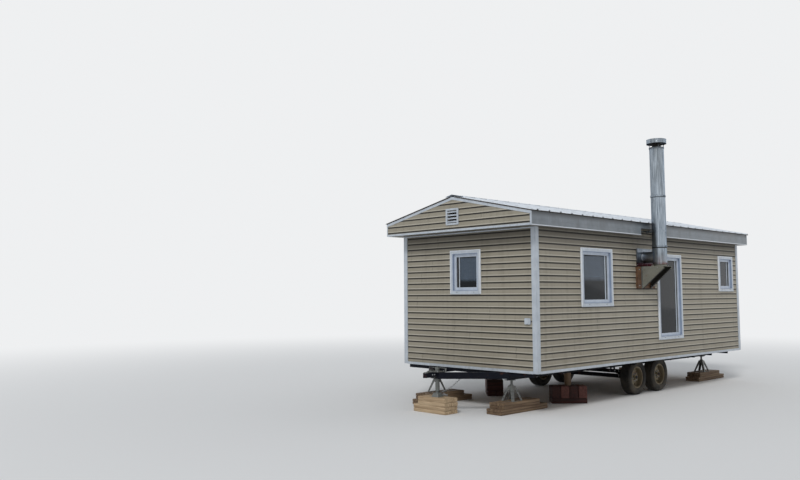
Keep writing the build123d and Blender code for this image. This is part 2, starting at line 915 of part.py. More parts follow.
# Chassis: two rolled channels, with crossmembers between them and outriggers beside them
with BuildPart() as chassis_rails:
    for y, open_side in ((rail_front_y, 1), (rail_back_y, -1)):
        with BuildSketch(facing_right(rail_left)):
            with Locations((y, (rail_top + rail_bottom) / 2)):
                Rectangle(rail_flange, rail_height)
            with Locations((y + open_side * rail_web / 2, (rail_top + rail_bottom) / 2)):
                Rectangle(rail_flange - rail_web, rail_height - 2 * rail_web, mode=Mode.SUBTRACT)
        extrude(amount=rail_right - rail_left)
save(chassis_rails, "chassis_rails")

wheel_zone = axle_spacing + wheel_diameter + 2 * wheel_clearance
axle_middle = x_left + axle_centre_x
cross_count = int((rail_right - rail_left - cross_width) // cross_pitch) + 1
cross_step = (rail_right - rail_left - cross_width) / (cross_count - 1)
cross_xs = [rail_left + cross_width / 2 + k * cross_step for k in range(cross_count)]
half_flange = rail_flange / 2
outrigger_xs = [x for x in cross_xs if abs(x - axle_middle) > (wheel_zone + cross_width) / 2]

with BuildPart() as crossmembers:
    for x in cross_xs:
        plan_box(x - cross_width / 2, x + cross_width / 2,
                 rail_front_y + half_flange, rail_back_y - half_flange,
                 cross_height, rail_top - cross_height)
    for x in outrigger_xs:
        plan_box(x - cross_width / 2, x + cross_width / 2,
                 y_front + cross_inset, rail_front_y - half_flange,
                 cross_height, rail_top - cross_height)
        plan_box(x - cross_width / 2, x + cross_width / 2,
                 rail_back_y + half_flange, y_back - cross_inset,
                 cross_height, rail_top - cross_height)
save(crossmembers, "crossmembers")

# Tongue: two beams from the rails' front ends to the coupler, with a jack behind it
with BuildPart() as tongue_beams:
    for sy, y_rail in ((-1, rail_front_y), (1, rail_back_y)):
        near_y = y_mid + sy * coupler_gap
        far_y = y_rail - sy * half_flange
        lean = atan2(abs(far_y - near_y), rail_left - coupler_back)
        side = sy * tongue_beam_width / cos(lean)
        with BuildSketch(plan(tongue_top - tongue_beam_height)):
            with BuildLine():
                Polyline(
                    (coupler_back, near_y),
                    (rail_left, far_y),
                    (rail_left, far_y + side),
                    (coupler_back, near_y + side),
                    close=True,
                )
            make_face()
        extrude(amount=tongue_beam_height)
save(tongue_beams, "tongue_beams")

with BuildPart() as coupler:
    with BuildSketch(plan(tongue_top - coupler_height)):
        with BuildLine():
            half = coupler_width / 2
            Polyline(
                (coupler_back, y_mid - half),
                (coupler_x + coupler_nose, y_mid - half),
                (coupler_x, y_mid - half + coupler_nose),
                (coupler_x, y_mid + half - coupler_nose),
                (coupler_x + coupler_nose, y_mid + half),
                (coupler_back, y_mid + half),
                close=True,
            )
        make_face()
    extrude(amount=coupler_height)
    with BuildSketch(plan(tongue_top - coupler_height)):
        with Locations((coupler_x + coupler_width / 2, y_mid)):
            Circle(ball_socket / 2)
    extrude(amount=ball_socket, mode=Mode.SUBTRACT)
save(coupler, "coupler")

tongue_stack_top = tongue_lower_height + tongue_upper_height
jack_axis = (x_left - jack_x, y_mid)

with BuildPart() as tongue_jack:
    with BuildSketch(plan(jack_tube_bottom)):
        with Locations(jack_axis):
            Circle(jack_tube_od / 2)
    extrude(amount=jack_top - jack_tube_bottom)
    with BuildSketch(plan(tongue_top)):
        with Locations(jack_axis):
            Rectangle(jack_flange_size, jack_flange_size)
    extrude(amount=jack_flange_thickness)
    with BuildSketch(plan(tongue_stack_top)):
        with Locations(jack_axis):
            Circle(jack_screw_od / 2)
    extrude(amount=jack_tube_bottom - tongue_stack_top)
    with BuildSketch(plan(tongue_stack_top)):
        with Locations(jack_axis):
            RectangleRounded(jack_foot_size, jack_foot_size, jack_foot_corner)
    with BuildSketch(plan(tongue_stack_top + jack_foot_height)):
        with Locations(jack_axis):
            RectangleRounded(jack_foot_top, jack_foot_top, jack_foot_corner)
    loft()
    crank_x, crank_back = jack_axis[0], jack_axis[1] + jack_crank_tail
    plan_box(crank_x - jack_crank_width / 2, crank_x + jack_crank_width / 2,
             crank_back - jack_crank_length, crank_back, jack_crank_thickness, jack_top)
    with BuildSketch(plan(jack_top)):
        with Locations((crank_x, crank_back - jack_crank_length + jack_grip_od / 2)):
            Circle(jack_grip_od / 2)
    extrude(amount=-jack_grip_height)
save(tongue_jack, "tongue_jack")


# Running gear: each axle carries its two leaf springs, which hang from the rails
axle_top = axle_level + axle_od / 2 + pin_clearance
spring_bottom = axle_top + spring_seat
top_leaf_level = spring_bottom + (spring_leaves - 1 / 2) * leaf_thickness
eye_level = top_leaf_level + spring_rise
eye_half = spring_length / 2
eye_od = eye_pin + 2 * (pin_clearance + leaf_thickness)
camber_radius = (eye_half ** 2 + spring_rise ** 2) / (2 * spring_rise)
rail_ys = (rail_front_y, rail_back_y)

hub_outer = (wheel_width - rim_width) / 2 + rim_dish - hub_stand_out
hub_inner = hub_outer + hub_length
spindle_end = hub_outer - nut_gap
axle_shoulder = hub_inner + nut_gap

with BuildPart() as axles:
    for x in axle_xs:
        axle_ends = (y_front + wheel_setback + axle_shoulder, y_back - wheel_setback - axle_shoulder)
        spindle_ends = (y_front + wheel_setback + spindle_end, y_back - wheel_setback - spindle_end)
        with BuildSketch(facing_back(axle_ends[0])):
            with Locations((-x, axle_level)):
                Circle(axle_od / 2)
        extrude(amount=axle_ends[1] - axle_ends[0])
        with BuildSketch(facing_back(spindle_ends[0])):
            with Locations((-x, axle_level)):
                Circle(spindle_od / 2)
        extrude(amount=spindle_ends[1] - spindle_ends[0])
        for sy, end in zip((-1, 1), spindle_ends):
            with BuildSketch(facing_back(end)):
                with Locations((-x, axle_level)):
                    RegularPolygon(nut_size / 2, 6)
            extrude(amount=sy * nut_thickness)
save(axles, "axles")

# Leaf packs: shorter leaves stepped under a top leaf, whose ends are rolled into the eyes
camber_centre = top_leaf_level + camber_radius
leaf_reaches = [eye_half - step * leaf_step for step in range(spring_leaves)] + [0]
seat_top = spring_bottom + leaf_thickness / 2


def camber_point(x, radius, reach):
    # A point of the pack on an arc about its centre of curvature
    return (-x + reach, camber_centre - (radius ** 2 - reach ** 2) ** 0.5)


def camber_arc(x, radius, start, stop):
    middle = (start + stop) / 2
    ThreePointArc(camber_point(x, radius, start), camber_point(x, radius, middle),
                  camber_point(x, radius, stop))


with BuildPart() as leaf_springs:
    for x in axle_xs:
        for y in rail_ys:
            with BuildSketch(facing_back(y - spring_width / 2)):
                with BuildLine():
                    upper = camber_radius - leaf_thickness / 2
                    camber_arc(x, upper, -eye_half, eye_half)
                    for side in (-1, 1):
                        for step, (reach, inner) in enumerate(zip(leaf_reaches, leaf_reaches[1:])):
                            above = upper + step * leaf_thickness
                            below = above + leaf_thickness
                            Line(camber_point(x, above, side * reach), camber_point(x, below, side * reach))
                            camber_arc(x, below, side * reach, side * inner)
                make_face()
                with Locations((-x, (seat_top + axle_top) / 2)):
                    Rectangle(spring_seat_length, seat_top - axle_top)
                with Locations((-x - eye_half, eye_level), (-x + eye_half, eye_level)):
                    Circle(eye_od / 2)
                    Circle(eye_pin / 2 + pin_clearance, mode=Mode.SUBTRACT)
            extrude(amount=spring_width)
save(leaf_springs, "leaf_springs")

with BuildPart() as spring_hangers:
    for y in rail_ys:
        for x in axle_xs:
            for end in (-1, 1):
                centre_x = x + end * eye_half
                hanger_bottom = eye_level - hanger_drop
                with BuildSketch(facing_right(centre_x - hanger_length / 2)):
                    with Locations((y, (rail_bottom + hanger_bottom) / 2)):
                        Rectangle(hanger_width, rail_bottom - hanger_bottom)
                    slot_top = rail_bottom - hanger_plate
                    with Locations((y, (slot_top + hanger_bottom) / 2)):
                        Rectangle(spring_width + 2 * pin_clearance, slot_top - hanger_bottom,
                                  mode=Mode.SUBTRACT)
                extrude(amount=hanger_length)
                with BuildSketch(facing_back(y - hanger_width / 2)):
                    with Locations((-centre_x, eye_level)):
                        Circle(eye_pin / 2)
                extrude(amount=hanger_width)
save(spring_hangers, "spring_hangers")


# Wheels: a tyre on a dished steel rim, turning on its spindle
def wheel_plane(x, y_outer, inward):
    # Local x is the distance in from the outer sidewall and local y is the radius
    return Plane(origin=(x, y_outer, axle_level), x_dir=(0, inward, 0), z_dir=(inward, 0, 0))


def tyre(x, y_outer, inward):
    # Beads between the rim's lips, bulging sidewalls and a flat tread with round shoulders
    bead = rim_diameter / 2 - bead_depth
    bead_out = (wheel_width - rim_width) / 2 + rim_skin + bead_clearance
    over_lip = rim_diameter / 2 + lip_clearance
    tread = wheel_diameter / 2
    shoulder = tread - tyre_corner
    bulge = (over_lip + shoulder) / 2
    corner_mid = tyre_corner * (1 - cos(pi / 4))
    far = wheel_width
    with BuildPart() as ring:
        with BuildSketch(wheel_plane(x, y_outer, inward)):
            with BuildLine():
                Line((bead_out, bead), (bead_out, over_lip))
                ThreePointArc((bead_out, over_lip), (0, bulge), (sidewall_tuck, shoulder))
                ThreePointArc((sidewall_tuck, shoulder),
                              (sidewall_tuck + corner_mid, tread - corner_mid),
                              (sidewall_tuck + tyre_corner, tread))
                Line((sidewall_tuck + tyre_corner, tread), (far - sidewall_tuck - tyre_corner, tread))
                ThreePointArc((far - sidewall_tuck - tyre_corner, tread),
                              (far - sidewall_tuck - corner_mid, tread - corner_mid),
                              (far - sidewall_tuck, shoulder))
                ThreePointArc((far - sidewall_tuck, shoulder), (far, bulge), (far - bead_out, over_lip))
                Line((far - bead_out, over_lip), (far - bead_out, bead))
                Line((far - bead_out, bead), (bead_out, bead))
            make_face()
        revolve(axis=Axis((x, y_outer, axle_level), (0, 1, 0)))
    return ring


def rim(x, y_outer, inward):
    barrel = rim_diameter / 2 - bead_depth - bead_clearance
    lip = rim_diameter / 2
    outer = (wheel_width - rim_width) / 2
    inner = outer + rim_width
    disc = outer + rim_dish
    bore = spindle_od / 2 + spindle_clearance
    with BuildPart() as dish:
        with BuildSketch(wheel_plane(x, y_outer, inward)):
            with BuildLine():
                Polyline(
                    (outer, lip),
                    (outer + rim_skin, lip),
                    (outer + rim_skin, barrel),
                    (inner - rim_skin, barrel),
                    (inner - rim_skin, lip),
                    (inner, lip),
                    (inner, barrel - rim_skin),
                    (disc + rim_skin + disc_lean, barrel - rim_skin),
                    (disc + rim_skin, hub_od / 2 + disc_flat),
                    (disc + rim_skin, hub_od / 2),
                    (hub_inner, hub_od / 2),
                    (hub_inner, bore),
                    (hub_outer, bore),
                    (hub_outer, hub_od / 2),
                    (disc, hub_od / 2),
                    (disc, hub_od / 2 + disc_flat),
                    (disc + disc_lean, barrel - rim_skin),
                    (outer, barrel - rim_skin),
                    close=True,
                )
            make_face()
        revolve(axis=Axis((x, y_outer, axle_level), (0, 1, 0)))
        with BuildSketch(Plane(origin=(x, y_outer + inward * outer, axle_level),
                               x_dir=(1, 0, 0), z_dir=(0, inward, 0))):
            with PolarLocations(rim_hole_circle / 2, rim_holes):
                Circle(rim_hole / 2)
        extrude(amount=rim_width, mode=Mode.SUBTRACT)
    return dish


wheel_rows = (("front", y_front + wheel_setback, 1), ("back", y_back - wheel_setback, -1))
for side, y_outer, inward in wheel_rows:
    for place, x in zip(("lead", "rear"), axle_xs):
        save(tyre(x, y_outer, inward), f"{side}_{place}_tyre")
        save(rim(x, y_outer, inward), f"{side}_{place}_rim")


# Timber: two layers under the jack and the stands, and turned cribs with posts under the rails
stand_xs = (x_left + front_stand_x, x_left + rear_stand_x)
stand_spots = [(x, y) for x in stand_xs for y in rail_ys]
plank_top = 2 * stand_layer_height
crib_spots = [(x_left + crib_x, y) for y in rail_ys]
crib_turns = (-crib_turn, crib_turn)
crib_top = crib_base_height + crib_block_height
crib_pitch = crib_block_width + timber_gap
crib_row = crib_count * crib_pitch - timber_gap
base_width = (crib_block_length - timber_gap) / 2


def plank_row(centre, along, across, height, z, direction, count):
    # Planks side by side with a narrow gap, laid along X or along Y
    pitch = (across + timber_gap) / count
    for k in range(count):
        offset = (k - (count - 1) / 2) * pitch
        half_w = (pitch - timber_gap) / 2
        cx, cy = centre
        if direction == "x":
            plan_box(cx - along / 2, cx + along / 2, cy + offset - half_w, cy + offset + half_w, height, z)
        else:
            plan_box(cx + offset - half_w, cx + offset + half_w, cy - along / 2, cy + along / 2, height, z)


with BuildPart() as lower_timbers:
    plank_row((jack_axis[0], jack_axis[1] + tongue_lower_shift), tongue_lower_width,
              tongue_stack_length, tongue_lower_height, 0, "y", 2)
    for x, y in stand_spots:
        plank_row((x + stand_lower_shift, y), stand_lower_length, stand_layer_width,
                  stand_layer_height, 0, "x", 2)
    for (x, y), turn in zip(crib_spots, crib_turns):
        with BuildSketch(plan(0)):
            with Locations(Location((x, y, 0), (0, 0, turn))):
                with GridLocations(0, base_width + timber_gap, 1, 2):
                    Rectangle(crib_row, base_width)
        extrude(amount=crib_base_height)
save(lower_timbers, "lower_timbers")

with BuildPart() as upper_timbers:
    plank_row(jack_axis, tongue_upper_width, tongue_stack_length, tongue_upper_height,
              tongue_lower_height, "y", 2)
    for x, y in stand_spots:
        plank_row((x + stand_upper_shift, y), stand_upper_length, stand_layer_width,
                  stand_layer_height, stand_layer_height, "x", 2)
    for x, y in crib_spots:
        plan_box(x - crib_post_size / 2, x + crib_post_size / 2,
                 y - crib_post_size / 2, y + crib_post_size / 2,
                 rail_bottom - crib_top, crib_top)
save(upper_timbers, "upper_timbers")

with BuildPart() as crib_blocks:
    for (x, y), turn in zip(crib_spots, crib_turns):
        with BuildSketch(plan(crib_base_height)):
            with Locations(Location((x, y, 0), (0, 0, turn))):
                with GridLocations(crib_pitch, 0, crib_count, 1):
                    Rectangle(crib_block_width, crib_block_length)
        extrude(amount=crib_block_height)
save(crib_blocks, "crib_blocks")


# Jack stands: four splayed legs under a cap, with a screw and a pad up to the rail
screw_height = rail_bottom - plank_top - stand_height - stand_pad_thickness

with BuildPart() as jack_stands:
    for spot in stand_spots:
        with BuildPart(mode=Mode.PRIVATE) as pyramid:
            with BuildSketch(plan(plank_top)):
                with Locations(spot):
                    Rectangle(stand_base, stand_base)
            with BuildSketch(plan(plank_top + stand_height)):
                with Locations(spot):
                    Rectangle(stand_top, stand_top)
            loft()
            with BuildSketch(plan(plank_top)):
                with Locations(spot):
                    Rectangle(stand_base - 2 * stand_wall, stand_base - 2 * stand_wall)
            with BuildSketch(plan(plank_top + stand_height - stand_wall)):
                with Locations(spot):
                    Rectangle(stand_top - 2 * stand_wall, stand_top - 2 * stand_wall)
            loft(mode=Mode.SUBTRACT)
            window_base = stand_base - 2 * stand_leg
            window_top = stand_top - 2 * stand_leg_top
            window_rise = stand_height - stand_cap
            for plane, u in ((facing_back(spot[1]), -spot[0]), (facing_right(spot[0]), spot[1])):
                with BuildSketch(plane):
                    with BuildLine():
                        Polyline(
                            (u - window_base / 2, plank_top),
                            (u - window_top / 2, plank_top + window_rise),
                            (u + window_top / 2, plank_top + window_rise),
                            (u + window_base / 2, plank_top),
                            close=True,
                        )
                    make_face()
                extrude(amount=stand_base, both=True, mode=Mode.SUBTRACT)
        add(pyramid.part)
        with BuildSketch(plan(plank_top + stand_height)):
            with Locations(spot):
                Circle(stand_screw_od / 2)
        extrude(amount=screw_height)
        with BuildSketch(plan(rail_bottom - stand_pad_thickness)):
            with Locations(spot):
                Rectangle(stand_pad_size, stand_pad_size)
        extrude(amount=stand_pad_thickness)
save(jack_stands, "jack_stands")
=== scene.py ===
import json
import math
import random

import bmesh
import bpy
from mathutils import Matrix, Vector


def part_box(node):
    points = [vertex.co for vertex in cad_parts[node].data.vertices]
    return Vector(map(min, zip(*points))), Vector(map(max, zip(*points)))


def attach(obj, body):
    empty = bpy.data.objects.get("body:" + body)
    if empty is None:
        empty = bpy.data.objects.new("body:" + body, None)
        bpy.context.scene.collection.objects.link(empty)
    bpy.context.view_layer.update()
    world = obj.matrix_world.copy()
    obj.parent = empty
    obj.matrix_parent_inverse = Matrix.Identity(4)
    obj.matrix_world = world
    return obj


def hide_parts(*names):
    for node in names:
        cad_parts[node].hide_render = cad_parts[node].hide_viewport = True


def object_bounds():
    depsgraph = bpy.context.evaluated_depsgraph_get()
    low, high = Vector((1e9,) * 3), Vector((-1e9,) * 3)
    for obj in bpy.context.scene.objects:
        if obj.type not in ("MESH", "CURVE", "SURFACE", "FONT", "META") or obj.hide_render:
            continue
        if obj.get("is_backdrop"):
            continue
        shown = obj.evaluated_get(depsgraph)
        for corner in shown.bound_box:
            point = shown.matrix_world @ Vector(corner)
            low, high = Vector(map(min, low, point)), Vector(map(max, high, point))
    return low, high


# Looks of the hunting cabin: siding, trim, roofing, chimney, wheels and timber, in metres
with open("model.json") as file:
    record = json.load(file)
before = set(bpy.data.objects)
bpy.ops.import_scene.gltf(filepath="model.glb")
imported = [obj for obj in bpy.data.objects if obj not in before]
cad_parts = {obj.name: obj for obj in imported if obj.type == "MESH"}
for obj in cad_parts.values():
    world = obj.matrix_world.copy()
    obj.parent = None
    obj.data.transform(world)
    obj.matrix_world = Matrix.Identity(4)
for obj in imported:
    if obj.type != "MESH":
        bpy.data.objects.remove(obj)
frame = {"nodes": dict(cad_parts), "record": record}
cad_low, cad_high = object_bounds()
nodes = frame["nodes"]
random.seed(11)

# Sizes shared with the solids
X_LEFT, X_RIGHT = -3.3, 4.02
Y_FRONT, Y_BACK, Y_MID = -1.31412, 1.61588, 0.15088
SIDING_BOTTOM, SOFFIT, FASCIA_TOP, RIDGE = 0.65, 2.93, 3.145, 3.50192
SIDING_DEPTH, COURSE, BOARD_LENGTH = 0.014, 0.1016, 3.66
GABLE_LEFT, GABLE_RIGHT = -3.585, 4.21
EAVE_FRONT, EAVE_BACK = Y_FRONT - 0.145, Y_BACK + 0.145
ROOF_LEFT, ROOF_RIGHT = GABLE_LEFT - 0.022, GABLE_RIGHT + 0.09
PITCH = math.radians(12.5)
FLOOR_TOP = 0.782
POST_INNER, TRIM_TOP = 0.0822, SIDING_BOTTOM + 0.038
RIB_PITCH = 0.305
CHIMNEY_X, CHIMNEY_Y, PIPE_R = 0.01, -1.62412, 0.127
TEE_LOW, JOINT_LEVELS, PIPE_TOP = 2.398, (2.71, 3.624), 4.538
CAP_LOW, CAP_HIGH = 4.6, 4.686
STRAP_Z = 3.005
NOTCH, NOTCH_TOP = (CHIMNEY_X - 0.345, CHIMNEY_X + 0.345), SOFFIT + 0.122
AXLES = {"lead": 0.2, "rear": 1.03}
AXLE_Z, TYRE_W, RIM_W = 0.32, 0.205, 0.168
WHEEL_FACES = {"front": Y_FRONT + 0.3, "back": Y_BACK - 0.3}
RAIL_FRONT, RAIL_BACK = Y_FRONT + 0.64, Y_BACK - 0.64
RAIL_TOP, RAIL_BOTTOM = 0.664, 0.512
JACK_X = X_LEFT - 0.69
EYE = (-13.169, -8.619, 1.87)
UP = (0, 0, 1)
ENDS = (-1, 1)
CORNERS = [(a, b) for a in ENDS for b in ENDS]


def mm(*numbers):
    """Pairs of millimetres as points in metres."""
    return [(a / 1000, b / 1000) for a, b in zip(numbers[::2], numbers[1::2])]


def flue(z):
    return Vector((CHIMNEY_X, CHIMNEY_Y, z))


def heading(a):
    """Level directions at an angle and a quarter turn on from it."""
    return Vector((math.cos(a), math.sin(a), 0)), Vector((-math.sin(a), math.cos(a), 0))


class Side:
    """A vertical plane: u runs along it, z is up, and d is the distance out from the sheathing."""

    def __init__(self, axis, at, sign):
        self.axis, self.at, self.sign = axis, at, sign

    def spot(self, u, z, d):
        out = self.at + self.sign * d
        return (u, out, z) if self.axis == "y" else (out, u, z)


FRONT = Side("y", Y_FRONT + SIDING_DEPTH, -1)
BACK = Side("y", Y_BACK - SIDING_DEPTH, 1)
LEFT = Side("x", X_LEFT + SIDING_DEPTH, -1)
RIGHT = Side("x", X_RIGHT - SIDING_DEPTH, 1)
GABLE_L = Side("x", GABLE_LEFT, -1)
GABLE_R = Side("x", GABLE_RIGHT, 1)
WALLS = ((LEFT, Y_FRONT, Y_BACK), (RIGHT, Y_FRONT, Y_BACK), (FRONT, X_LEFT, X_RIGHT), (BACK, X_LEFT, X_RIGHT))


def rays(axis, steps, turn):
    """A unit axis, and the directions square to it."""
    axis = Vector(axis).normalized()
    u = axis.orthogonal().normalized()
    v = axis.cross(u)
    return axis, [u * math.cos(a) + v * math.sin(a) for a in (turn + 2 * math.pi * k / steps for k in range(steps))]


class Shape:
    """Collects closed bodies and turns them into one mesh piece."""

    def __init__(self):
        self.verts, self.faces, self.grain = [], [], []

    def add(self, verts, faces):
        base = len(self.verts)
        self.verts += [tuple(v) for v in verts]
        self.faces += [tuple(base + i for i in face) for face in faces]

    def loft(self, loops, ring=False):
        count, size = len(loops), len(loops[0])
        faces = []
        for i in range(count if ring else count - 1):
            a, b = i * size, (i + 1) % count * size
            faces += [(a + k, a + (k + 1) % size, b + (k + 1) % size, b + k) for k in range(size)]
        if not ring:
            faces += [tuple(reversed(range(size))), tuple(range((count - 1) * size, count * size))]
        self.add([p for loop in loops for p in loop], faces)

    def run(self, side, u0, u1, section):
        """A section of (z, d) points run along a side."""
        self.loft([[side.spot(u, z, d) for z, d in section] for u in (u0, u1)])

    def box(self, a, b):
        (x0, x1), (y0, y1), (z0, z1) = (sorted(pair) for pair in zip(a, b))
        self.loft([[(x0, y0, z), (x1, y0, z), (x1, y1, z), (x0, y1, z)] for z in (z0, z1)])

    def block(self, side, u0, u1, z0, z1, d0, d1):
        self.box(side.spot(u0, z0, d0), side.spot(u1, z1, d1))

    def lathe(self, origin, axis, profile, steps=72, core=0.0):
        """A closed outline of (radius, height) points turned round an axis; core is added to each radius."""
        axis, ways = rays(axis, steps, 0.0)
        self.loft([[Vector(origin) + way * (core + r) + axis * h for r, h in profile] for way in ways], True)

    def disc(self, origin, axis, profile, steps=16, turn=0.0):
        """A solid of rings (radius, height) with flat ends, such as a bolt head or dome."""
        axis, ways = rays(axis, steps, turn)
        self.loft([[Vector(origin) + way * r + axis * h for way in ways] for r, h in profile])

    def tube(self, path, radius, steps=12, ring=False):
        points = [Vector(p) for p in path]
        loops, up = [], None
        for i, p in enumerate(points):
            before = points[i - 1] if i or ring else p
            after = points[(i + 1) % len(points)] if i < len(points) - 1 or ring else p
            way = (after - before).normalized()
            up = way.orthogonal().normalized() if up is None else (up - way * up.dot(way)).normalized()
            across = way.cross(up)
            loops.append([p + (up * math.cos(a) + across * math.sin(a)) * radius
                          for a in (2 * math.pi * k / steps for k in range(steps))])
        self.loft(loops, ring)

    def bolt(self, at, way, size, head):
        r = size / 2
        self.disc(at, way, [(r * 1.5, 0), (r * 1.5, 0.002), (r * 1.3, 0.0026)])
        self.disc(at, way, [(r, 0.002), (r, head), (r * 0.8, head + 0.0015)], 6, random.random())

    def frame_sweep(self, side, u, z, width, height, profile):
        """A mitred frame: the profile's points are (inset from the outer edge, d)."""
        self.loft([[side.spot(u + sx * (width / 2 - s), z + sz * (height / 2 - s), d) for s, d in profile]
                   for sx, sz in ((-1, -1), (1, -1), (1, 1), (-1, 1))], True)

    def piece(self, name, look, slot=None, sharp=30, bevel=0.0, body="cabin", instead=None):
        """look is a material or the name of a slot, and instead is the CAD node that the piece stands for."""
        if isinstance(look, str):
            look, slot = looks[look], look
        data = bpy.data.meshes.new(name)
        data.from_pydata(self.verts, [], self.faces)
        work = bmesh.new()
        work.from_mesh(data)
        bmesh.ops.recalc_face_normals(work, faces=work.faces)
        work.to_mesh(data)
        work.free()
        if self.grain:
            layer = data.attributes.new("grain", "FLOAT_VECTOR", "POINT")
            layer.data.foreach_set("vector", [c for g in self.grain for c in g])
        data.shade_smooth()
        data.set_sharp_from_angle(angle=math.radians(sharp))
        data.materials.append(look)
        piece = bpy.data.objects.new(name, data)
        bpy.context.scene.collection.objects.link(piece)
        if bevel:
            edge = piece.modifiers.new("edges", "BEVEL")
            edge.width, edge.segments, edge.limit_method = bevel, 1, "ANGLE"
            edge.angle_limit = math.radians(40)
            edge.harden_normals = False
        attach(piece, body)
        if instead:
            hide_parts(instead)


def shapes(count):
    return (Shape() for _ in range(count))


def rgb(code):
    """A screen colour in hexadecimal digits as linear light."""
    parts = [int(code[k:k + 2], 16) for k in (0, 2, 4)]
    return tuple((c / 255 / 12.92 if c <= 10 else ((c / 255 + 0.055) / 1.055) ** 2.4) for c in parts) + (1,)


class Value:
    """A number or colour in a material's graph, where arithmetic adds nodes."""

    def __init__(self, look, socket):
        self.look, self.socket = look, socket

    def __mul__(self, other):
        return self.look.math("MULTIPLY", self, other)

    def __add__(self, other):
        return self.look.math("ADD", self, other)

    def __sub__(self, other):
        return self.look.math("SUBTRACT", self, other)

    def __rsub__(self, other):
        return self.look.math("SUBTRACT", other, self)

    def __lt__(self, other):
        return self.look.math("LESS_THAN", self, other)

    def __gt__(self, other):
        return self.look.math("GREATER_THAN", self, other)

    def ramp(self, *stops):
        """Straight-line curve through stops of value and result in turn."""
        made = self.look.node("ShaderNodeValToRGB", Fac=self)
        points = made.color_ramp.elements
        while len(points) < len(stops) / 2:
            points.new(0.5)
        for point, at, result in zip(points, stops[::2], stops[1::2]):
            point.position = at
            point.color = (result, result, result, 1)
        return Value(self.look, made.outputs["Color"])


class Look:
    """A procedural material on the Principled shader; colour holds its coats so far."""

    def __init__(self, name, metallic=0.0, **sockets):
        self.material = bpy.data.materials.new(name)
        self.material.use_nodes = True
        self.tree = self.material.node_tree
        self.shader = self.tree.nodes["Principled BSDF"]
        for key, value in {"Metallic": metallic, **sockets}.items():
            self.shader.inputs[key.replace("_", " ")].default_value = value
        self.place = self.node("ShaderNodeTexCoord").outputs["Object"]
        self.x, self.y, self.z = self.parts(self.place)

    def parts(self, vector):
        return [Value(self, part) for part in self.node("ShaderNodeSeparateXYZ", Vector=vector).outputs]

    def node(self, kind, **inputs):
        made = self.tree.nodes.new(kind)
        for key, value in inputs.items():
            self.feed(made.inputs[int(key[1:]) if key[1:].isdigit() else key.replace("_", " ")], value)
        return made

    def feed(self, socket, value):
        value = value.socket if isinstance(value, Value) else rgb(value) if isinstance(value, str) else value
        if isinstance(value, bpy.types.NodeSocket):
            self.tree.links.new(value, socket)
        else:
            socket.default_value = value

    def math(self, kind, a, b=0.0):
        made = self.node("ShaderNodeMath", i0=a, i1=b)
        made.operation = kind
        return Value(self, made.outputs[0])

    def noise(self, scale, stretch=(1, 1, 1), detail=4.0, rough=0.55, source=None, twist=0.0):
        place = self.node("ShaderNodeMapping", Vector=source or self.place, Scale=stretch).outputs[0]
        return Value(self, self.node("ShaderNodeTexNoise", Vector=place, Scale=scale, Detail=detail, Roughness=rough,
                                     Distortion=twist).outputs["Fac"])

    def coat(self, share, *colours):
        """Lays a colour over the coats so far by a share, or starts with a blend of two colours."""
        under, over = colours if len(colours) == 2 else (self.colour, *colours)
        made = self.node("ShaderNodeMix", i0=share, i6=under, i7=over)
        made.data_type = "RGBA"
        self.colour = made.outputs[2]

    def low_dirt(self, dirt, top, most, scale=9.0):
        """Splashed dirt that fades out upwards, with patches."""
        fade = (self.z * (1 / top)).ramp(0, 1, 0.5, 0.45, 1, 0)
        self.coat(fade * self.noise(scale, detail=6).ramp(0.35, 0, 0.7, 1) * most, dirt)

    def done(self, rough, height, depth, strength):
        self.feed(self.shader.inputs["Base Color"], self.colour)
        self.feed(self.shader.inputs["Roughness"], rough)
        bump = self.node("ShaderNodeBump", Height=height, Strength=strength, Distance=depth)
        self.tree.links.new(bump.outputs["Normal"], self.shader.inputs["Normal"])
        return self.material


def siding_look():
    look = Look("siding")
    course = (look.z - SIDING_BOTTOM) * (1 / COURSE)
    part = look.math("FRACT", course)
    tint = Value(look, look.node("ShaderNodeTexWhiteNoise", i1=look.math("FLOOR", course * 0.5)).outputs["Value"])
    tint.socket.node.noise_dimensions = "1D"
    streak = look.noise(6, (0.7, 0.7, 26), 5, 0.6)
    grain = look.noise(34, (0.5, 0.5, 7), 6, 0.65)
    look.coat(streak, "867f6f", "9e9787")
    look.coat(tint * 0.22, "797262")
    look.coat(look.noise(1.3, (1, 1, 0.8)).ramp(0.35, 0, 0.7, 0.3), "a29d90")
    look.coat(look.noise(5, (2.2, 2.2, 0.12)).ramp(0.52, 0, 0.72, 0.28), "655e4f")
    look.coat((look.math("FRACT", (look.x + look.y) * (1 / BOARD_LENGTH) + tint) < 0.0013) * 0.8, "26221c")
    # Each course is near-black at its butt and along its top under the next course's lap, and lighter just above its
    # butt: painted shade and a painted highlight.
    look.coat(part.ramp(0, 1, 0.02, 0.4, 0.05, 0, 0.75, 0, 0.82, 0.75, 0.87, 1, 1, 1), "0c0a08")
    look.coat(part.ramp(0, 0, 0.04, 0, 0.11, 0.75, 0.27, 0, 1, 0), "c4beb0")
    look.low_dirt("625846", 1.15, 0.75, 5)
    # Towards the soffit the siding darkens: painted shade under the eave.
    under = SOFFIT - look.z
    look.coat(under.ramp(0, 0.62, 0.06, 0.56, 0.16, 0.36, 0.3, 0.1, 0.42, 0) * (under > 0), "16120c")
    return look.done(grain.ramp(0.3, 0.52, 0.7, 0.68), streak * 0.7 + grain * 0.5, 0.0011, 0.7)


def sheet_metal(name, scale, base, worn, dirt, streaks):
    """Smooth sheet with faint blotches and streaks, as a look, its patches and its relief."""
    look = Look(name)
    patch = look.noise(scale, detail=5)
    look.coat(patch.ramp(0.3, 0, 0.72, 1), base, worn)
    look.coat(look.noise(11, (2, 2, 0.16)).ramp(0.5, 0, 0.75, streaks), dirt)
    return look, patch, patch + look.noise(160, detail=3) * 0.12


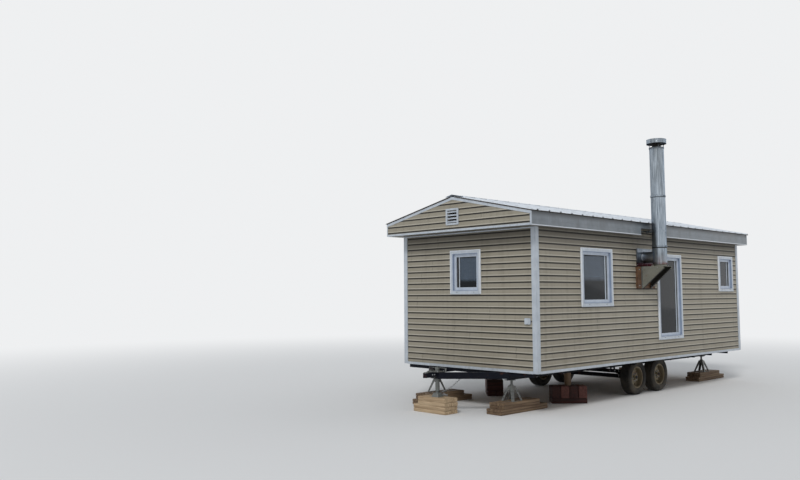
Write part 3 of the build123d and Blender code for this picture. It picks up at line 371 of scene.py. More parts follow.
def painted(name, base, worn, dirt, top=0.4, most=0.0):
    """Vinyl or painted metal, splashed from below."""
    look, patch, relief = sheet_metal(name, 7, base, worn, dirt, 0.2)
    look.low_dirt(dirt, top, most)
    return look.done(patch.ramp(0.3, 0.38, 0.7, 0.55), relief, 0.0006, 0.35)


def eave_look():
    """Fascia sheet: darkened by painted shade under the roof's drip edge, and lighter along its folded lower lip."""
    look, patch, relief = sheet_metal("eave_metal", 4, "5c6369", "7d848a", "585854", 0.3)
    # Painted shade under the drip edge, then a lighter band along the lower lip.
    look.coat((FASCIA_TOP - look.z).ramp(0, 0.8, 0.022, 0.62, 0.048, 0.28, 0.08, 0), "181a1e")
    look.coat((look.z - SOFFIT < 0.0128) * 0.8, "ced3d9")
    return look.done(patch.ramp(0.3, 0.3, 0.7, 0.5), relief, 0.0006, 0.35)


def steel_look():
    """Brushed steel, rusty at the tee's foot and sooty on its arm, with painted shade round the outlet under the rain
    cap.
    """
    look = Look("stainless", 1.0, Specular_Tint=(0.42, 0.46, 0.52, 1.0))
    brush = look.noise(9, (9, 9, 0.35), 5, 0.6)
    stain = look.noise(4, (1.4, 1.4, 0.5), 6)
    look.coat(brush.ramp(0.3, 0, 0.7, 1), "606a75", "bac4cd")
    look.coat(stain.ramp(0.48, 0, 0.75, 0.55), "60605c")
    tee = (look.z - TEE_LOW).ramp(0, 0.8, 0.05, 0.35, 0.2, 0)
    look.coat(tee * look.noise(16, detail=6).ramp(0.4, 0.2, 0.65, 1), "763e26")
    arm = look.y > CHIMNEY_Y + PIPE_R + 0.004
    look.coat(arm * (look.z < TEE_LOW + 0.34) * stain.ramp(0.2, 0.15, 0.7, 0.55), "4a3e36")
    look.coat(arm * (look.z - (TEE_LOW - 0.03)).ramp(0, 1, 0.055, 0.9, 0.085, 0), "32100b")
    # Near-black from the top band up past the cap's lower rim: painted shade under the rain cap.
    look.coat((look.z - (PIPE_TOP - 0.03)).ramp(0, 0, 0.012, 0.35, 0.05, 0.85, 0.0995, 0.95, 0.1015, 0), "100f0e")
    return look.done(brush.ramp(0.25, 0.22, 0.75, 0.42), look.noise(60, (12, 12, 0.6), 3), 0.0003, 0.3)


def zinc_look(name, base, dark, rust, metallic):
    look = Look(name, metallic)
    spangle = look.node("ShaderNodeTexVoronoi", Vector=look.place, Scale=85.0)
    cell = Value(look, look.node("ShaderNodeSeparateColor", Color=spangle.outputs["Color"]).outputs[0])
    look.coat(cell, dark, base)
    look.coat(look.noise(6, detail=6).ramp(0.3, 0.1, 0.75, 0.75), base)
    look.coat(look.noise(12, (1, 1, 0.5), 7, 0.65).ramp(0.56, 0, 0.72, rust), "6e4228")
    return look.done(cell.ramp(0, 0.42, 1, 0.62), look.noise(140), 0.0005, 0.4)


def bracket_look():
    """Weathered plate, blackened on the faces that look inwards or down by painted shade."""
    look = Look("bracket_plate", 0.3)
    patch = look.noise(11, detail=7, rough=0.65)
    look.coat(patch, "707066", "949388")
    look.coat(look.noise(17, detail=6).ramp(0.6, 0, 0.72, 0.5), "68422c")
    way_x, _, way_z = look.parts(look.node("ShaderNodeNewGeometry").outputs["Normal"])
    # Faces turned inwards or downwards go near-black: painted shade.
    inward = look.math("SIGN", look.x - CHIMNEY_X) * way_x * -1.0
    look.coat(look.math("MAXIMUM", way_z * -1.0, inward).ramp(0.2, 0, 0.5, 0.9), "181715")
    return look.done(patch.ramp(0.3, 0.5, 0.7, 0.72), look.noise(90), 0.0006, 0.4)


def roof_look():
    look = Look("roof_steel", 0.15)
    patch = look.noise(2.2, detail=6)
    look.coat(patch, "ced5dd", "e6ebf0")
    look.coat(look.noise(3, (0.35, 3, 3), 5).ramp(0.5, 0, 0.75, 0.35), "848c94")
    look.coat(look.noise(38, detail=5).ramp(0.62, 0, 0.74, 0.35), "807e76")
    return look.done(patch.ramp(0.3, 0.32, 0.7, 0.5), look.noise(9, detail=3), 0.0012, 0.25)


def glass_look():
    """Dark panes with a painted reflection of a pale sky above the near ones' rail, and a little of it on the small
    one.
    """
    look = Look("window_glass", 0.0, IOR=1.3, Transmission_Weight=0.72, Specular_IOR_Level=0.22)
    # The pale blend above the rail height, full on the near panes and faint on the small one, is a painted sky
    # reflection.
    rise = (look.z - 2.085) * 18
    rise.socket.node.use_clamp = True
    shade = look.math("MAXIMUM", rise * (look.x < -0.9), (look.x > 2.9) * 0.12)
    smear = look.noise(7, (1, 1, 0.3), 5)
    look.coat(smear, "768698", "8e9dae")
    pale = look.colour
    look.coat(smear, "141d25", "212c36")
    look.coat(shade * 0.9, pale)
    return look.done(smear.ramp(0.3, 0.02, 0.7, 0.07), look.noise(1.1, detail=1), 0.004, 0.12)


def wood_look(name, pale, dark, end, rough=0.75):
    """Sawn wood whose grain runs along the first number of the piece's grain attribute."""
    look = Look(name)
    place = look.node("ShaderNodeAttribute")
    place.attribute_name = "grain"
    spot = place.outputs["Vector"]
    fibre = look.noise(22, (0.3, 9, 9), 6, 0.7, spot)
    look.coat(look.noise(3.2, (0.5, 9, 9), 5, 0.6, spot, 0.6).ramp(0.35, 0, 0.65, 1), pale, dark)
    look.coat(fibre.ramp(0.45, 0, 0.7, 0.55), dark)
    look.coat(look.noise(0.35, detail=1, source=spot).ramp(0.3, 0, 0.7, 0.45), end)
    crack = look.noise(5, (0.35, 16, 16), 3, source=spot).ramp(0.66, 0, 0.7, 0.8)
    look.coat(crack, "1e1610")
    return look.done(rough, fibre + crack * -1.2, 0.002, 0.7)


def chassis_look():
    look = Look("chassis_paint", Specular_IOR_Level=0.08)
    patch = look.noise(5, detail=7, rough=0.65)
    look.coat(patch, "0b0d15", "181b24")
    look.coat(patch.ramp(0.58, 0, 0.68, 0.5), "543220")
    look.low_dirt("484136", 0.7, 0.35, 11)
    return look.done(patch.ramp(0.3, 0.24, 0.65, 0.7), look.noise(70, detail=5), 0.0007, 0.4)


def tyre_look():
    look = Look("tyre_rubber", Sheen_Weight=0.05, Specular_IOR_Level=0.25)
    patch = look.noise(8, detail=6)
    look.coat(patch, "181818", "2c2b29")
    look.coat(look.noise(3, detail=6).ramp(0.42, 0, 0.72, 0.7), "60584a")
    return look.done(patch.ramp(0.3, 0.7, 0.7, 0.9), look.noise(220, detail=3), 0.0006, 0.5)


def rim_look():
    look = Look("rim_paint", 0.25)
    patch = look.noise(14, detail=6)
    look.coat(patch, "6e624b", "8d826a")
    look.coat(look.noise(7, detail=7).ramp(0.5, 0, 0.66, 0.85), "603a22")
    look.low_dirt("4a4236", 0.75, 0.8, 14)
    return look.done(patch.ramp(0.3, 0.45, 0.7, 0.75), patch, 0.0008, 0.5)


def board_look(name, pale, dark, rough=0.7):
    """Plywood with long faint grain."""
    look = Look(name)
    grain, fine = look.noise(4, (0.6, 7, 7), 6, 0.6), look.noise(60, (0.4, 5, 5))
    look.coat(grain.ramp(0.35, 0, 0.68, 1), pale, dark)
    look.coat(fine * 0.3, dark)
    return look.done(rough, grain + fine, 0.0006, 0.4)


def plain(name, base, other, rough, scale, metallic=0.0, depth=0.0005, **sockets):
    look = Look(name, metallic, **sockets)
    patch = look.noise(scale, detail=5)
    look.coat(patch, base, other)
    return look.done(patch.ramp(0.3, rough, 0.7, min(1.0, rough + 0.15)), patch, depth, 0.4)


looks = {
    "vinyl_siding": siding_look(),
    "white_trim": painted("white_trim", "b0b8c1", "c4cbd2", "807a6c", 1.0, 0.6),
    "eave_metal": eave_look(),
    "roof_steel": roof_look(),
    "glass": glass_look(),
    "door_paint": painted("door_paint", "c4c6c4", "d4d5d2", "787060", 1.4, 0.4),
    "stainless": steel_look(),
    "galvanised": zinc_look("galvanised", "767875", "505251", 0.25, 0.55),
    "board": board_look("stained_board", "74543a", "422c1e", 0.72),
    "timber": wood_look("timber", "ceb694", "947a5c", "ac967a"),
    "crib": wood_look("crib_wood", "461f19", "1f0c09", "361e19", 0.85),
    "floor": board_look("plywood", "b29670", "8a6c4a"),
    "chassis": chassis_look(),
    "tyre": tyre_look(),
    "rim": rim_look(),
}
gasket = plain("black_gasket", "101112", "202122", 0.55, 60)
zinc = zinc_look("zinc_fastener", "a8aaac", "787a7c", 0.35, 0.8)
crib_light = wood_look("crib_wood_light", "70463d", "46221d", "5a3a33", 0.8)
weathered = wood_look("weathered_timber", "867056", "503c2a", "624f3d")
# The strapping's dark brown stands for the shade under the sheet's edge: painted shade.
strapping = wood_look("strapping", "4a4036", "28211c", "342c26", 0.85)
rust_steel = plain("rusted_steel", "461810", "260f0b", 0.85, 26, 0.0, 0.0012, Specular_IOR_Level=0.1)
# The reveal's blue-grey is painted shade on the white frame's return, and the edge's brighter white is a painted
# highlight along the casing's outer edge.
reveal_shade = painted("window_reveal_shade", "8694aa", "96a3b8", "706c64")
edge_highlight = painted("window_edge_highlight", "dee4eb", "ecf0f5", "b0aea6")
sash_white = painted("window_sash", "b4becc", "c8d1dd", "8c887e")
soffit_shade = painted("soffit_shade", "5c5852", "706c64", "46423c")
blind_white = painted("blind", "c4c8c6", "d2d4d2", "a09e96")
# Near-black steel for the chimney's painted shade.
shade_steel = plain("painted_shade_steel", "161514", "2c2926", 0.7, 24, 0.3)
foam = plain("closure_foam", "1e1f21", "303032", 0.9, 90, depth=0.001)

slot_of = {row["node"]: row["material_slot"] for row in frame["record"]["subparts"]}
for name, node in nodes.items():
    node.data.materials.clear()
    node.data.materials.append(looks[slot_of[name]])
nodes["chimney_bracket"].data.materials[0] = bracket_look()


def around(side, name):
    """The outline (u0, u1, z0, z1) of a CAD node seen square on to a side."""
    index = 0 if side.axis == "y" else 1
    low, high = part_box(name)
    return low[index], high[index], low[2], high[2]


# Windows as (side, centre along the wall, centre height, width, height)
def opening(side, u, head, size):
    return side, u, SIDING_BOTTOM + head - size[1] / 2, size[0], size[1]


MAIN, TALL, SMALL = mm(960, 980, 930, 1605, 672, 738)
windows = {
    "main_window": opening(FRONT, X_LEFT + 1.715, 1.995, MAIN),
    "tall_window": opening(FRONT, X_LEFT + 4.242, 1.97, TALL),
    "small_window": opening(FRONT, X_LEFT + 6.695, 2.005, SMALL),
    "back_main_window": opening(BACK, X_LEFT + 1.715, 1.995, MAIN),
    "back_small_window": opening(BACK, X_LEFT + 6.2, 2.005, SMALL),
    "left_gable_window": opening(LEFT, Y_FRONT + 1.449, 1.972, SMALL),
    "right_gable_window": opening(RIGHT, Y_FRONT + 1.449, 1.972, SMALL),
}
FITTINGS = {FRONT: ("wall_thimble", "backing_board"), BACK: ("door_frame",), LEFT: ("power_inlet",), RIGHT: ()}


# Siding: double four-inch courses, each a closed lapped board clipped round the openings
def cut_course(z0, deep, low, high):
    """The part between two heights of the course's section of (z, d) points."""
    points = [(z0, 0.15 * deep), (z0, 0.93 * deep), (z0 + 0.0018, deep), (z0 + 0.009, 0.985 * deep),
              (z0 + 0.0925, 0.3 * deep), (z0 + COURSE, 0.16 * deep)]
    kept = []
    for (z0, d0), (z1, d1) in zip(points, points[1:]):
        if max(z0, z1) < low or min(z0, z1) > high:
            continue
        for z, d in ((z0, d0), (z1, d1)):
            if z1 != z0:
                t = (min(max(z, low), high) - z0) / (z1 - z0)
                z, d = z0 + t * (z1 - z0), d0 + t * (d1 - d0)
            if not kept or abs(z - kept[-1][0]) + abs(d - kept[-1][1]) > 1e-6:
                kept.append((z, d))
    return kept


def free_spans(u0, u1, low, high, holes):
    spans = [(u0, u1)]
    for a, b, c, d in holes:
        if d > low + 1e-6 and c < high - 1e-6:
            cut = [span for p, q in spans for span in ((p, min(q, a)), (max(p, b), q))]
            spans = [(p, q) for p, q in cut if q - p > 0.002]
    return spans


def siding(shape, side, u0, u1, z_low, z_high, holes, deep=SIDING_DEPTH, edge=None):
    """edge gives how far the ends draw in, as a function of height, on a gable."""
    row = int(math.floor((z_low - SIDING_BOTTOM) / COURSE))
    while SIDING_BOTTOM + row * COURSE < z_high - 0.004:
        z0 = SIDING_BOTTOM + row * COURSE
        low, high = max(z0, z_low), min(z0 + COURSE, z_high)
        levels = sorted({low, high, *(z for hole in holes for z in hole[2:] if low < z < high)})
        lap = u0 + random.Random(row // 2 * 7 + int(side.at * 100)).uniform(0.8, 3.4)
        laps = [lap + BOARD_LENGTH * k for k in (0, 1) if u1 - u0 > BOARD_LENGTH and lap + BOARD_LENGTH * k < u1 - 0.5]
        for a, b in zip(levels, levels[1:]):
            if b - a < 0.002:
                continue
            section = cut_course(z0, deep, a, b) + [(b, 0.0006), (a, 0.0006)]
            for p, q in free_spans(u0, u1, a, b, holes):
                stops = [p, *(x for x in laps if p + 0.05 < x < q - 0.05), q]
                for k, (s, e) in enumerate(zip(stops, stops[1:])):
                    lift = 0.0009 if k % 2 else 0.0
                    shape.loft([[side.spot(u + (sign * edge(z) if edge and u in (u0, u1) else 0), z,
                                           d + (lift if d > 0.001 else 0)) for z, d in section]
                                for u, sign in ((s - (0.012 if lift else 0.0), 1), (e, -1))])
        row += 1


for name, (side, u0, u1) in zip(("front", "back", "left_gable", "right_gable"), WALLS[2:] + WALLS[:2]):
    holes = [(u - w / 2, u + w / 2, z - h / 2, z + h / 2) for s, u, z, w, h in windows.values() if s is side]
    holes += [around(side, fitting) for fitting in FITTINGS[side]]
    wall = Shape()
    siding(wall, side, u0 + POST_INNER, u1 - POST_INNER, TRIM_TOP - 0.006, SOFFIT, holes)
    if side is FRONT:
        siding(wall, side, *NOTCH, SOFFIT, NOTCH_TOP + 0.03, [])
    wall.piece(name + "_siding", "vinyl_siding", sharp=20)


def gable_edge(z):
    """How far inside the fascias the rake trim's lower edge lies at a height."""
    return max(0.0, (z + 0.044 - FASCIA_TOP) / math.tan(PITCH) - 0.024)


for name, side in (("left_gable_face_siding", GABLE_L), ("right_gable_face_siding", GABLE_R)):
    upper = Shape()
    siding(upper, side, EAVE_FRONT + 0.024, EAVE_BACK - 0.024, SOFFIT + 0.03, RIDGE - 0.05,
           [around(side, "gable_vents")], 0.0095, gable_edge)
    upper.piece(name, "vinyl_siding", sharp=20)

# Roof: thin ribbed sheets over strapping, in place of the solid slabs
SHEET, RIB_H, RIB_FOOT, RIB_CREST, SKIN = 0.018, 0.019, 0.058, 0.024, 0.0012
SLOPE_RUN = (Y_MID - EAVE_FRONT) / math.cos(PITCH) + 0.032 - 0.04


def slope_frame(side):
    """Foot of the sheet, the way up the slope and the way out of it, side -1 in front and 1 behind."""
    up = Vector((0, -side * math.cos(PITCH), math.sin(PITCH)))
    out = Vector((0, side * math.sin(PITCH), math.cos(PITCH)))
    foot = Vector((0, EAVE_FRONT if side < 0 else EAVE_BACK, FASCIA_TOP)) - up * 0.032
    return foot, up, out


rib_count = int((ROOF_RIGHT - ROOF_LEFT - RIB_FOOT) // RIB_PITCH) + 1
first_rib = (ROOF_LEFT + ROOF_RIGHT) / 2 - (rib_count - 1) * RIB_PITCH / 2
rib_xs = [first_rib + k * RIB_PITCH for k in range(rib_count)]

# The sheet's upper line along the cabin as (x, height), with ribs and low stiffening beads
line = [(ROOF_LEFT, SHEET)]
for x in rib_xs:
    line += [(x - RIB_FOOT / 2, SHEET), (x - RIB_CREST / 2, SHEET + RIB_H),
             (x + RIB_CREST / 2, SHEET + RIB_H), (x + RIB_FOOT / 2, SHEET)]
    for share in (1 / 3, 2 / 3):
        bead = x + RIB_PITCH * share
        if bead < ROOF_RIGHT - 0.04:
            line += [(bead - 0.014, SHEET), (bead - 0.007, SHEET + 0.003),
                     (bead + 0.007, SHEET + 0.003), (bead + 0.014, SHEET)]
line.append((ROOF_RIGHT, SHEET))

for name, side in (("front_roof", -1), ("back_roof", 1)):
    foot, up, out = slope_frame(side)

    def at(x, s, h):
        return foot + up * s + out * h + Vector((x, 0, 0))

    sheet, boards, screws, plugs = shapes(4)
    count = len(line)
    faces = []
    for k in range(count - 1):
        a, b, c, d = k, count + k, 2 * count + k, 3 * count + k
        faces += [(a, a + 1, c + 1, c), (b, d, d + 1, b + 1), (a, b, b + 1, a + 1), (c, c + 1, d + 1, d)]
    faces += [(0, 2 * count, 3 * count, count), (count - 1, 2 * count - 1, 4 * count - 1, 3 * count - 1)]
    sheet.add([at(x, s, h - under) for s in (0.0, SLOPE_RUN) for under in (0.0, SKIN) for x, h in line], faces)
    sheet.piece(name + "_sheet", "roof_steel", sharp=12, instead=name)

    for s in (0.036, 0.36, 0.72, 1.08, 1.42, SLOPE_RUN - 0.1):
        boards.loft([[at(x, s + a, b) for a, b in mm(0, 0.5, 86, 0.5, 86, 16.6, 0, 16.6)]
                     for x in (GABLE_LEFT + 0.002, GABLE_RIGHT - 0.002)])
    for x0, x1 in ((ROOF_LEFT + 0.004, GABLE_LEFT + 0.06), (GABLE_RIGHT - 0.06, ROOF_RIGHT - 0.004)):
        boards.loft([[at(x, 0.036 + s, b) for x, b in ((x0, 0.0004), (x1, 0.0004), (x1, 0.0164), (x0, 0.0164))]
                     for s in (0, SLOPE_RUN - 0.06)])
    boards.grain = [(v[0], v[1] + 0.37 * (n // 8), v[2]) for n, v in enumerate(boards.verts)]
    boards.piece(name + "_strapping", strapping, "timber")

    for s in (0.075, 0.4, 0.76, 1.12, 1.46):
        for x in (rib + dx for rib in rib_xs for dx in (-0.046, 0.046)):
            if ROOF_LEFT + 0.01 < x < ROOF_RIGHT - 0.01:
                screws.bolt(at(x, s, SHEET), out, 0.009, 0.005)
    screws.piece(name + "_screws", zinc, "galvanised")

    # Black foam closures in the rib ends, partly real and partly standing for the shade inside the ribs' hollows:
    # painted shade.
    for x in rib_xs:
        plugs.loft([[at(x + dx, s, SHEET - SKIN + h) for dx, h in (
            (-0.0265, 0.0), (-0.0105, RIB_H - 0.001), (0.0105, RIB_H - 0.001), (0.0265, 0.0))]
            for s in (0.012, 0.04)])
    plugs.piece(name + "_closures", foam)

cap_screws, cap_hems = shapes(2)
for side in ENDS:
    foot, up, out = slope_frame(side)
    crown = Vector((0, Y_MID, RIDGE)) + Vector((0, 0, (SHEET + RIB_H) / math.cos(PITCH) + 0.003 / math.cos(PITCH)))
    for x in rib_xs:
        cap_screws.bolt(crown - up * 0.118 + Vector((x, 0, 0)), out, 0.009, 0.005)
    cap_hems.loft([[crown - up * 0.1505 + Vector((x, 0, 0)) + up * a + out * b
                    for a, b in mm(0, -4.5, 0, 1.4, 12, 1.4, 12, 0.2, 1.6, 0.2, 1.6, -4.5)]
                   for x in (ROOF_LEFT + 0.001, ROOF_RIGHT - 0.001)])
cap_screws.piece("ridge_cap_screws", zinc, "galvanised")
cap_hems.piece("ridge_cap_hems", "roof_steel")

# Eaves: sheet-metal fascia covers in lengths, drip lips, and soffit boards below
for name, edge, sign in (("front", EAVE_FRONT, -1), ("back", EAVE_BACK, 1)):
    cover, nails = shapes(2)
    plane = Side("y", edge, sign)
    joints = [GABLE_LEFT, GABLE_LEFT + 2.66, GABLE_LEFT + 5.7, GABLE_RIGHT]
    for k, (a, b) in enumerate(zip(joints, joints[1:])):
        lift, lap = (0.0012, 0.02) if k % 2 else (0.0, 0.0)
        parts = [(a - lap, b + lap, SOFFIT)]
        if name == "front" and a < CHIMNEY_X < b:
            parts = [(a - lap, NOTCH[0], SOFFIT), (*NOTCH, NOTCH_TOP), (NOTCH[1], b + lap, SOFFIT)]
        for p, q, z in parts:
            cover.run(plane, max(p, GABLE_LEFT), min(q, GABLE_RIGHT), [(h, d + lift) for h, d in (
                (z - 0.003, -0.022), (z - 0.003, 0.0035), (z + 0.012, 0.0035), (z + 0.0135, 0.0014),
                (z + 0.08, 0.0014), (z + 0.0815, 0.003), (z + 0.088, 0.003), (z + 0.0895, 0.0014),
                (FASCIA_TOP - 0.012, 0.0014), (FASCIA_TOP - 0.012, 0.0002), (z + 0.001, 0.0002),
                (z + 0.001, -0.022))])
        x = a + 0.15
        while x < b:
            for h in (0.045, 0.15):
                if not (name == "front" and NOTCH[0] < x < NOTCH[1] and h < 0.1):
                    nails.disc(plane.spot(x, SOFFIT + h, 0.0014 + lift), (0, sign, 0), mm(4, 0, 4, 0.8, 2, 1.4), 8)
            x += 0.61
    cover.piece(name + "_fascia_cover", "eave_metal")
    nails.piece(name + "_fascia_nails", "eave_metal")

BOARD, BOARD_PITCH = 0.096, 0.1
BOARD_LOW, BOARD_HIGH = SOFFIT - 0.0032, SOFFIT - 0.0002
soffit_boards, eave_boards = shapes(2)
x = GABLE_LEFT + 0.034
while x < GABLE_RIGHT - 0.12:
    for y0, y1 in ((EAVE_FRONT + 0.026, Y_FRONT - 0.006), (Y_BACK + 0.006, EAVE_BACK - 0.026)):
        if not (y0 < Y_FRONT and x + BOARD > NOTCH[0] and x < NOTCH[1]):
            eave_boards.box((x, y0, BOARD_LOW), (x + BOARD, y1, BOARD_HIGH))
    x += BOARD_PITCH
y = Y_FRONT + 0.012
while y < Y_BACK - 0.1:
    for x0, x1 in ((GABLE_LEFT + 0.028, X_LEFT - 0.006), (X_RIGHT + 0.006, GABLE_RIGHT - 0.028)):
        soffit_boards.box((x0, y, BOARD_LOW), (x1, y + BOARD, BOARD_HIGH))
    y += BOARD_PITCH
for boards, name in ((soffit_boards, "soffit_boards"), (eave_boards, "eave_boards")):
    boards.piece(name, soffit_shade, "eave_metal", bevel=0.0015)

# White channels where siding meets other things; along the front and back wall tops they take the siding look, so its
# painted shade under the eaves darkens them
channels, top_channels = shapes(2)
for side in (GABLE_L, GABLE_R):
    for high, d0, d1 in ((0.03, 0.0004, 0.0125), (0.006, 0.0125, 0.0165)):
        channels.block(side, EAVE_FRONT + 0.0245, EAVE_BACK - 0.0245, SOFFIT - 0.004, SOFFIT + high, d0, d1)
for side, u0, u1 in WALLS:
    u0, u1 = u0 + POST_INNER + 0.001, u1 - POST_INNER - 0.001
    for p, q in ((u0, NOTCH[0]), (NOTCH[1], u1)) if side is FRONT else ((u0, u1),):
        (channels if side in (LEFT, RIGHT) else top_channels).block(
            side, p, q, SOFFIT - 0.022, SOFFIT - 0.0034, 0.01, 0.0175)
for u in (NOTCH[0], NOTCH[1] - 0.018):
    channels.block(FRONT, u, u + 0.018, SOFFIT - 0.004, NOTCH_TOP + 0.02, 0.01, 0.0175)
top_channels.piece("siding_top_channels", "vinyl_siding", bevel=0.0012)
channels.piece("siding_channels", "white_trim", bevel=0.0012)

# Corner posts and bottom trim get their folded edges
folds = Shape()
for sx, sy in CORNERS:
    x, y = (X_LEFT, X_RIGHT)[sx > 0], (Y_FRONT, Y_BACK)[sy > 0]
    for u in (0.006, 0.066):
        folds.box((x - sx * u, y + sy * 0.004, SIDING_BOTTOM + 0.001),
                  (x - sx * (u + 0.0035), y + sy * 0.0056, SOFFIT - 0.001))
        folds.box((x + sx * 0.004, y - sy * u, SIDING_BOTTOM + 0.001),
                  (x + sx * 0.0056, y - sy * (u + 0.0035), SOFFIT - 0.001))
for side, u0, u1 in WALLS:
    for z, down, up, out in ((SIDING_BOTTOM, 0.004, 0.003, 0.0225), (TRIM_TOP, 0.004, 0.0005, 0.0205)):
        folds.block(side, u0 + POST_INNER, u1 - POST_INNER, z - down, z + up, 0.012, out)
folds.piece("trim_folds", "white_trim", bevel=0.0008)

# Windows: mitred casings, sashes, glazing beads, gaskets and sills
CASING = mm(-0.8, 10.5, -0.8, 30, 3, 32.5, 8, 32.5, 10.5, 29.2, 48, 28, 51, 31, 60, 31, 62.2, 29, 62.2, -6, 60.5, -6,
            60.5, 26.2, 1, 26.2, 1, 10.5)
SASH = mm(62.5, -7.5, 65, -5.2, 89, -4.5, 90.5, -6.6, 93, -6.6, 94.5, -5, 108, -8, 113.5, -23.5, 113.5, -25.6,
          111.8, -25.6, 111.8, -9, 62.5, -9)
RUBBER = mm(112.8, -22.5, 116.2, -24.2, 116.2, -25.7, 112.8, -25.7)
INNER = mm(99.5, -34.5, 115, -34.5, 115, -48, 99.5, -50)
REVEAL = mm(54.5, 30.6, 54.5, 31.4, 62.6, 31.4, 63.3, 30, 63.3, -6.2, 62, -6.2, 61.8, 29, 61, 30.6)
EDGE = mm(-1.2, 10.5, -1.2, 30.2, 2.9, 32.9, 9.2, 32.9, 11.4, 29.7, 10.8, 29, 8, 32, 3, 32, -0.6, 29.8, -0.6, 10.5)
GLASS_INSET, SEAL_INSET, SEAL_BACK = 0.114, 0.1145, -0.025
casings, sashes, rubbers, sills, slots, reveals, edges, screens, blinds, seals, stiles = shapes(11)
for name, (side, u, z, w, h) in windows.items():
    for shape, profile in ((casings, CASING), (reveals, REVEAL), (edges, EDGE), (sashes, SASH), (sashes, INNER),
                           (rubbers, RUBBER)):
        shape.frame_sweep(side, u, z, w, h, profile)
    low, left, right = z - h / 2, u - w / 2, u + w / 2
    sills.run(side, left + 0.001, right - 0.001,
              [(low + a, d) for a, d in mm(0.5, 31, -4, 37, 4, 38.5, 18, 37.5, 21.5, 34, 21.5, 28.5, 0.5, 28.5)])
    for share in (0.22, 0.78):
        c = left + w * share
        slots.block(side, c - 0.017, c + 0.017, low + 0.0295, low + 0.0345, 0.0268, 0.0298)

    # Wide black strips beside the glass, a black strip of painted shade under its head, and the white meeting stiles
    z0, z1 = z - h / 2 + GLASS_INSET, z + h / 2 - GLASS_INSET
    far = 1 if side in (FRONT, LEFT) else -1
    edge = u + far * (w / 2 - SEAL_INSET)
    wide, slim = (0.046, 0.018) if side in (LEFT, RIGHT) else (0.036, 0.03) if w > 0.9 else (0.06, 0.028)
    seals.block(side, edge, edge - far * wide, z0, z1, SEAL_BACK, -0.0195)
    seals.block(side, left + SEAL_INSET, right - SEAL_INSET, z1 - 0.012, z1, SEAL_BACK, -0.0193)
    stiles.block(side, edge - far * (wide + 0.0005), edge - far * (wide + slim), z0, z1, SEAL_BACK, -0.019)
for shape, name, look in ((casings, "casings", "white_trim"), (sashes, "sashes", sash_white),
                          (sills, "sills", "white_trim"), (reveals, "reveals", reveal_shade), (edges, "edges", edge_highlight)):
    shape.piece("window_" + name, look, "white_trim", 25)
rubbers.piece("window_gaskets", gasket)
slots.piece("window_drain_slots", gasket)

# Screen stiles behind the opening sashes, and blinds let down part of the way
for name in ("main_window", "tall_window", "back_main_window"):
    side, u, z, w, h = windows[name]
    sign = 1 if side is FRONT else -1
    right = u + sign * (w / 2 - 0.112)
    screens.block(side, right - sign * 0.052, right - sign * 0.03, z - h / 2 + 0.1, z + h / 2 - 0.1, -0.052, -0.037)
for name, reach in (("tall_window", 0.3), ("left_gable_window", 0.5), ("main_window", 0.36)):
    side, u, z, w, h = windows[name]
    top, half = z + h / 2 - 0.105, w / 2 - 0.12
    blinds.block(side, u - half, u + half, top - 0.03, top, -0.098, -0.066)
    level = top - 0.045
    while level > top - reach:
        blinds.run(side, u - half + 0.006, u + half - 0.006,
                   [(level + a, -0.082 + d) for a, d in mm(-8, 9, 0, 1.5, 8.5, -8.5, 7.8, -9.5, -0.8, 0.5, -8.8, 8.2)])
        level -= 0.0215
    for v in (u - half * 0.62, u + half * 0.62):
        blinds.block(side, v - 0.0015, v + 0.0015, top - reach, top - 0.02, -0.0725, -0.0715)
    blinds.block(side, u - half, u + half, top - reach - 0.014, top - reach + 0.002, -0.09, -0.072)
for shape, name, look in ((seals, "seals", gasket), (stiles, "meeting_stiles", "white_trim"),
                          (screens, "screen_stiles", "white_trim")):
    shape.piece("window_" + name, look, bevel=0.001)
blinds.piece("window_blinds", blind_white)

# Gable vents: bevelled rim and fixing screws; power inlet with its hinged cover
rims, screws, cover = shapes(3)
z = SOFFIT + 0.24
for side in (GABLE_L, GABLE_R):
    rims.frame_sweep(side, Y_MID, z, 0.275, 0.275,
                     mm(-0.6, 1, -0.6, 22.5, 2.5, 26.2, 26, 26.2, 29.8, 23.2, 29.8, 23.5, 29.6, 24.2, 3, 24.2, 0.4, 1))
    for su, sz in CORNERS:
        screws.disc(side.spot(Y_MID + su * 0.122, z + sz * 0.122, 0.0262), (side.sign, 0, 0),
                    mm(4.5, 0, 4.2, 1.6, 2, 2.4), 12)
rims.piece("vent_rims", "white_trim")
low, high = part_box("power_inlet")
zc, yc, way = (low.z + high.z) / 2, (low.y + high.y) / 2, (-1, 0, 0)
cover.disc((low.x + 0.0004, yc, zc), way, mm(36, 0, 36, 6, 33, 9, 12, 10.5), 40)
cover.box((low.x - 0.01, yc - 0.024, high.z - 0.018), (low.x + 0.001, yc + 0.024, high.z - 0.009))
cover.box((low.x - 0.013, yc - 0.01, zc - 0.041), (low.x + 0.001, yc + 0.01, zc - 0.032))
cover.piece("inlet_cover", "white_trim", bevel=0.0008)
for sy, sz in CORNERS:
    screws.disc((low.x, yc + sy * 0.042, zc + sz * 0.038), way, mm(3, 0, 3, 1.2, 1.6, 1.8), 10)
screws.piece("vent_and_inlet_screws", zinc)

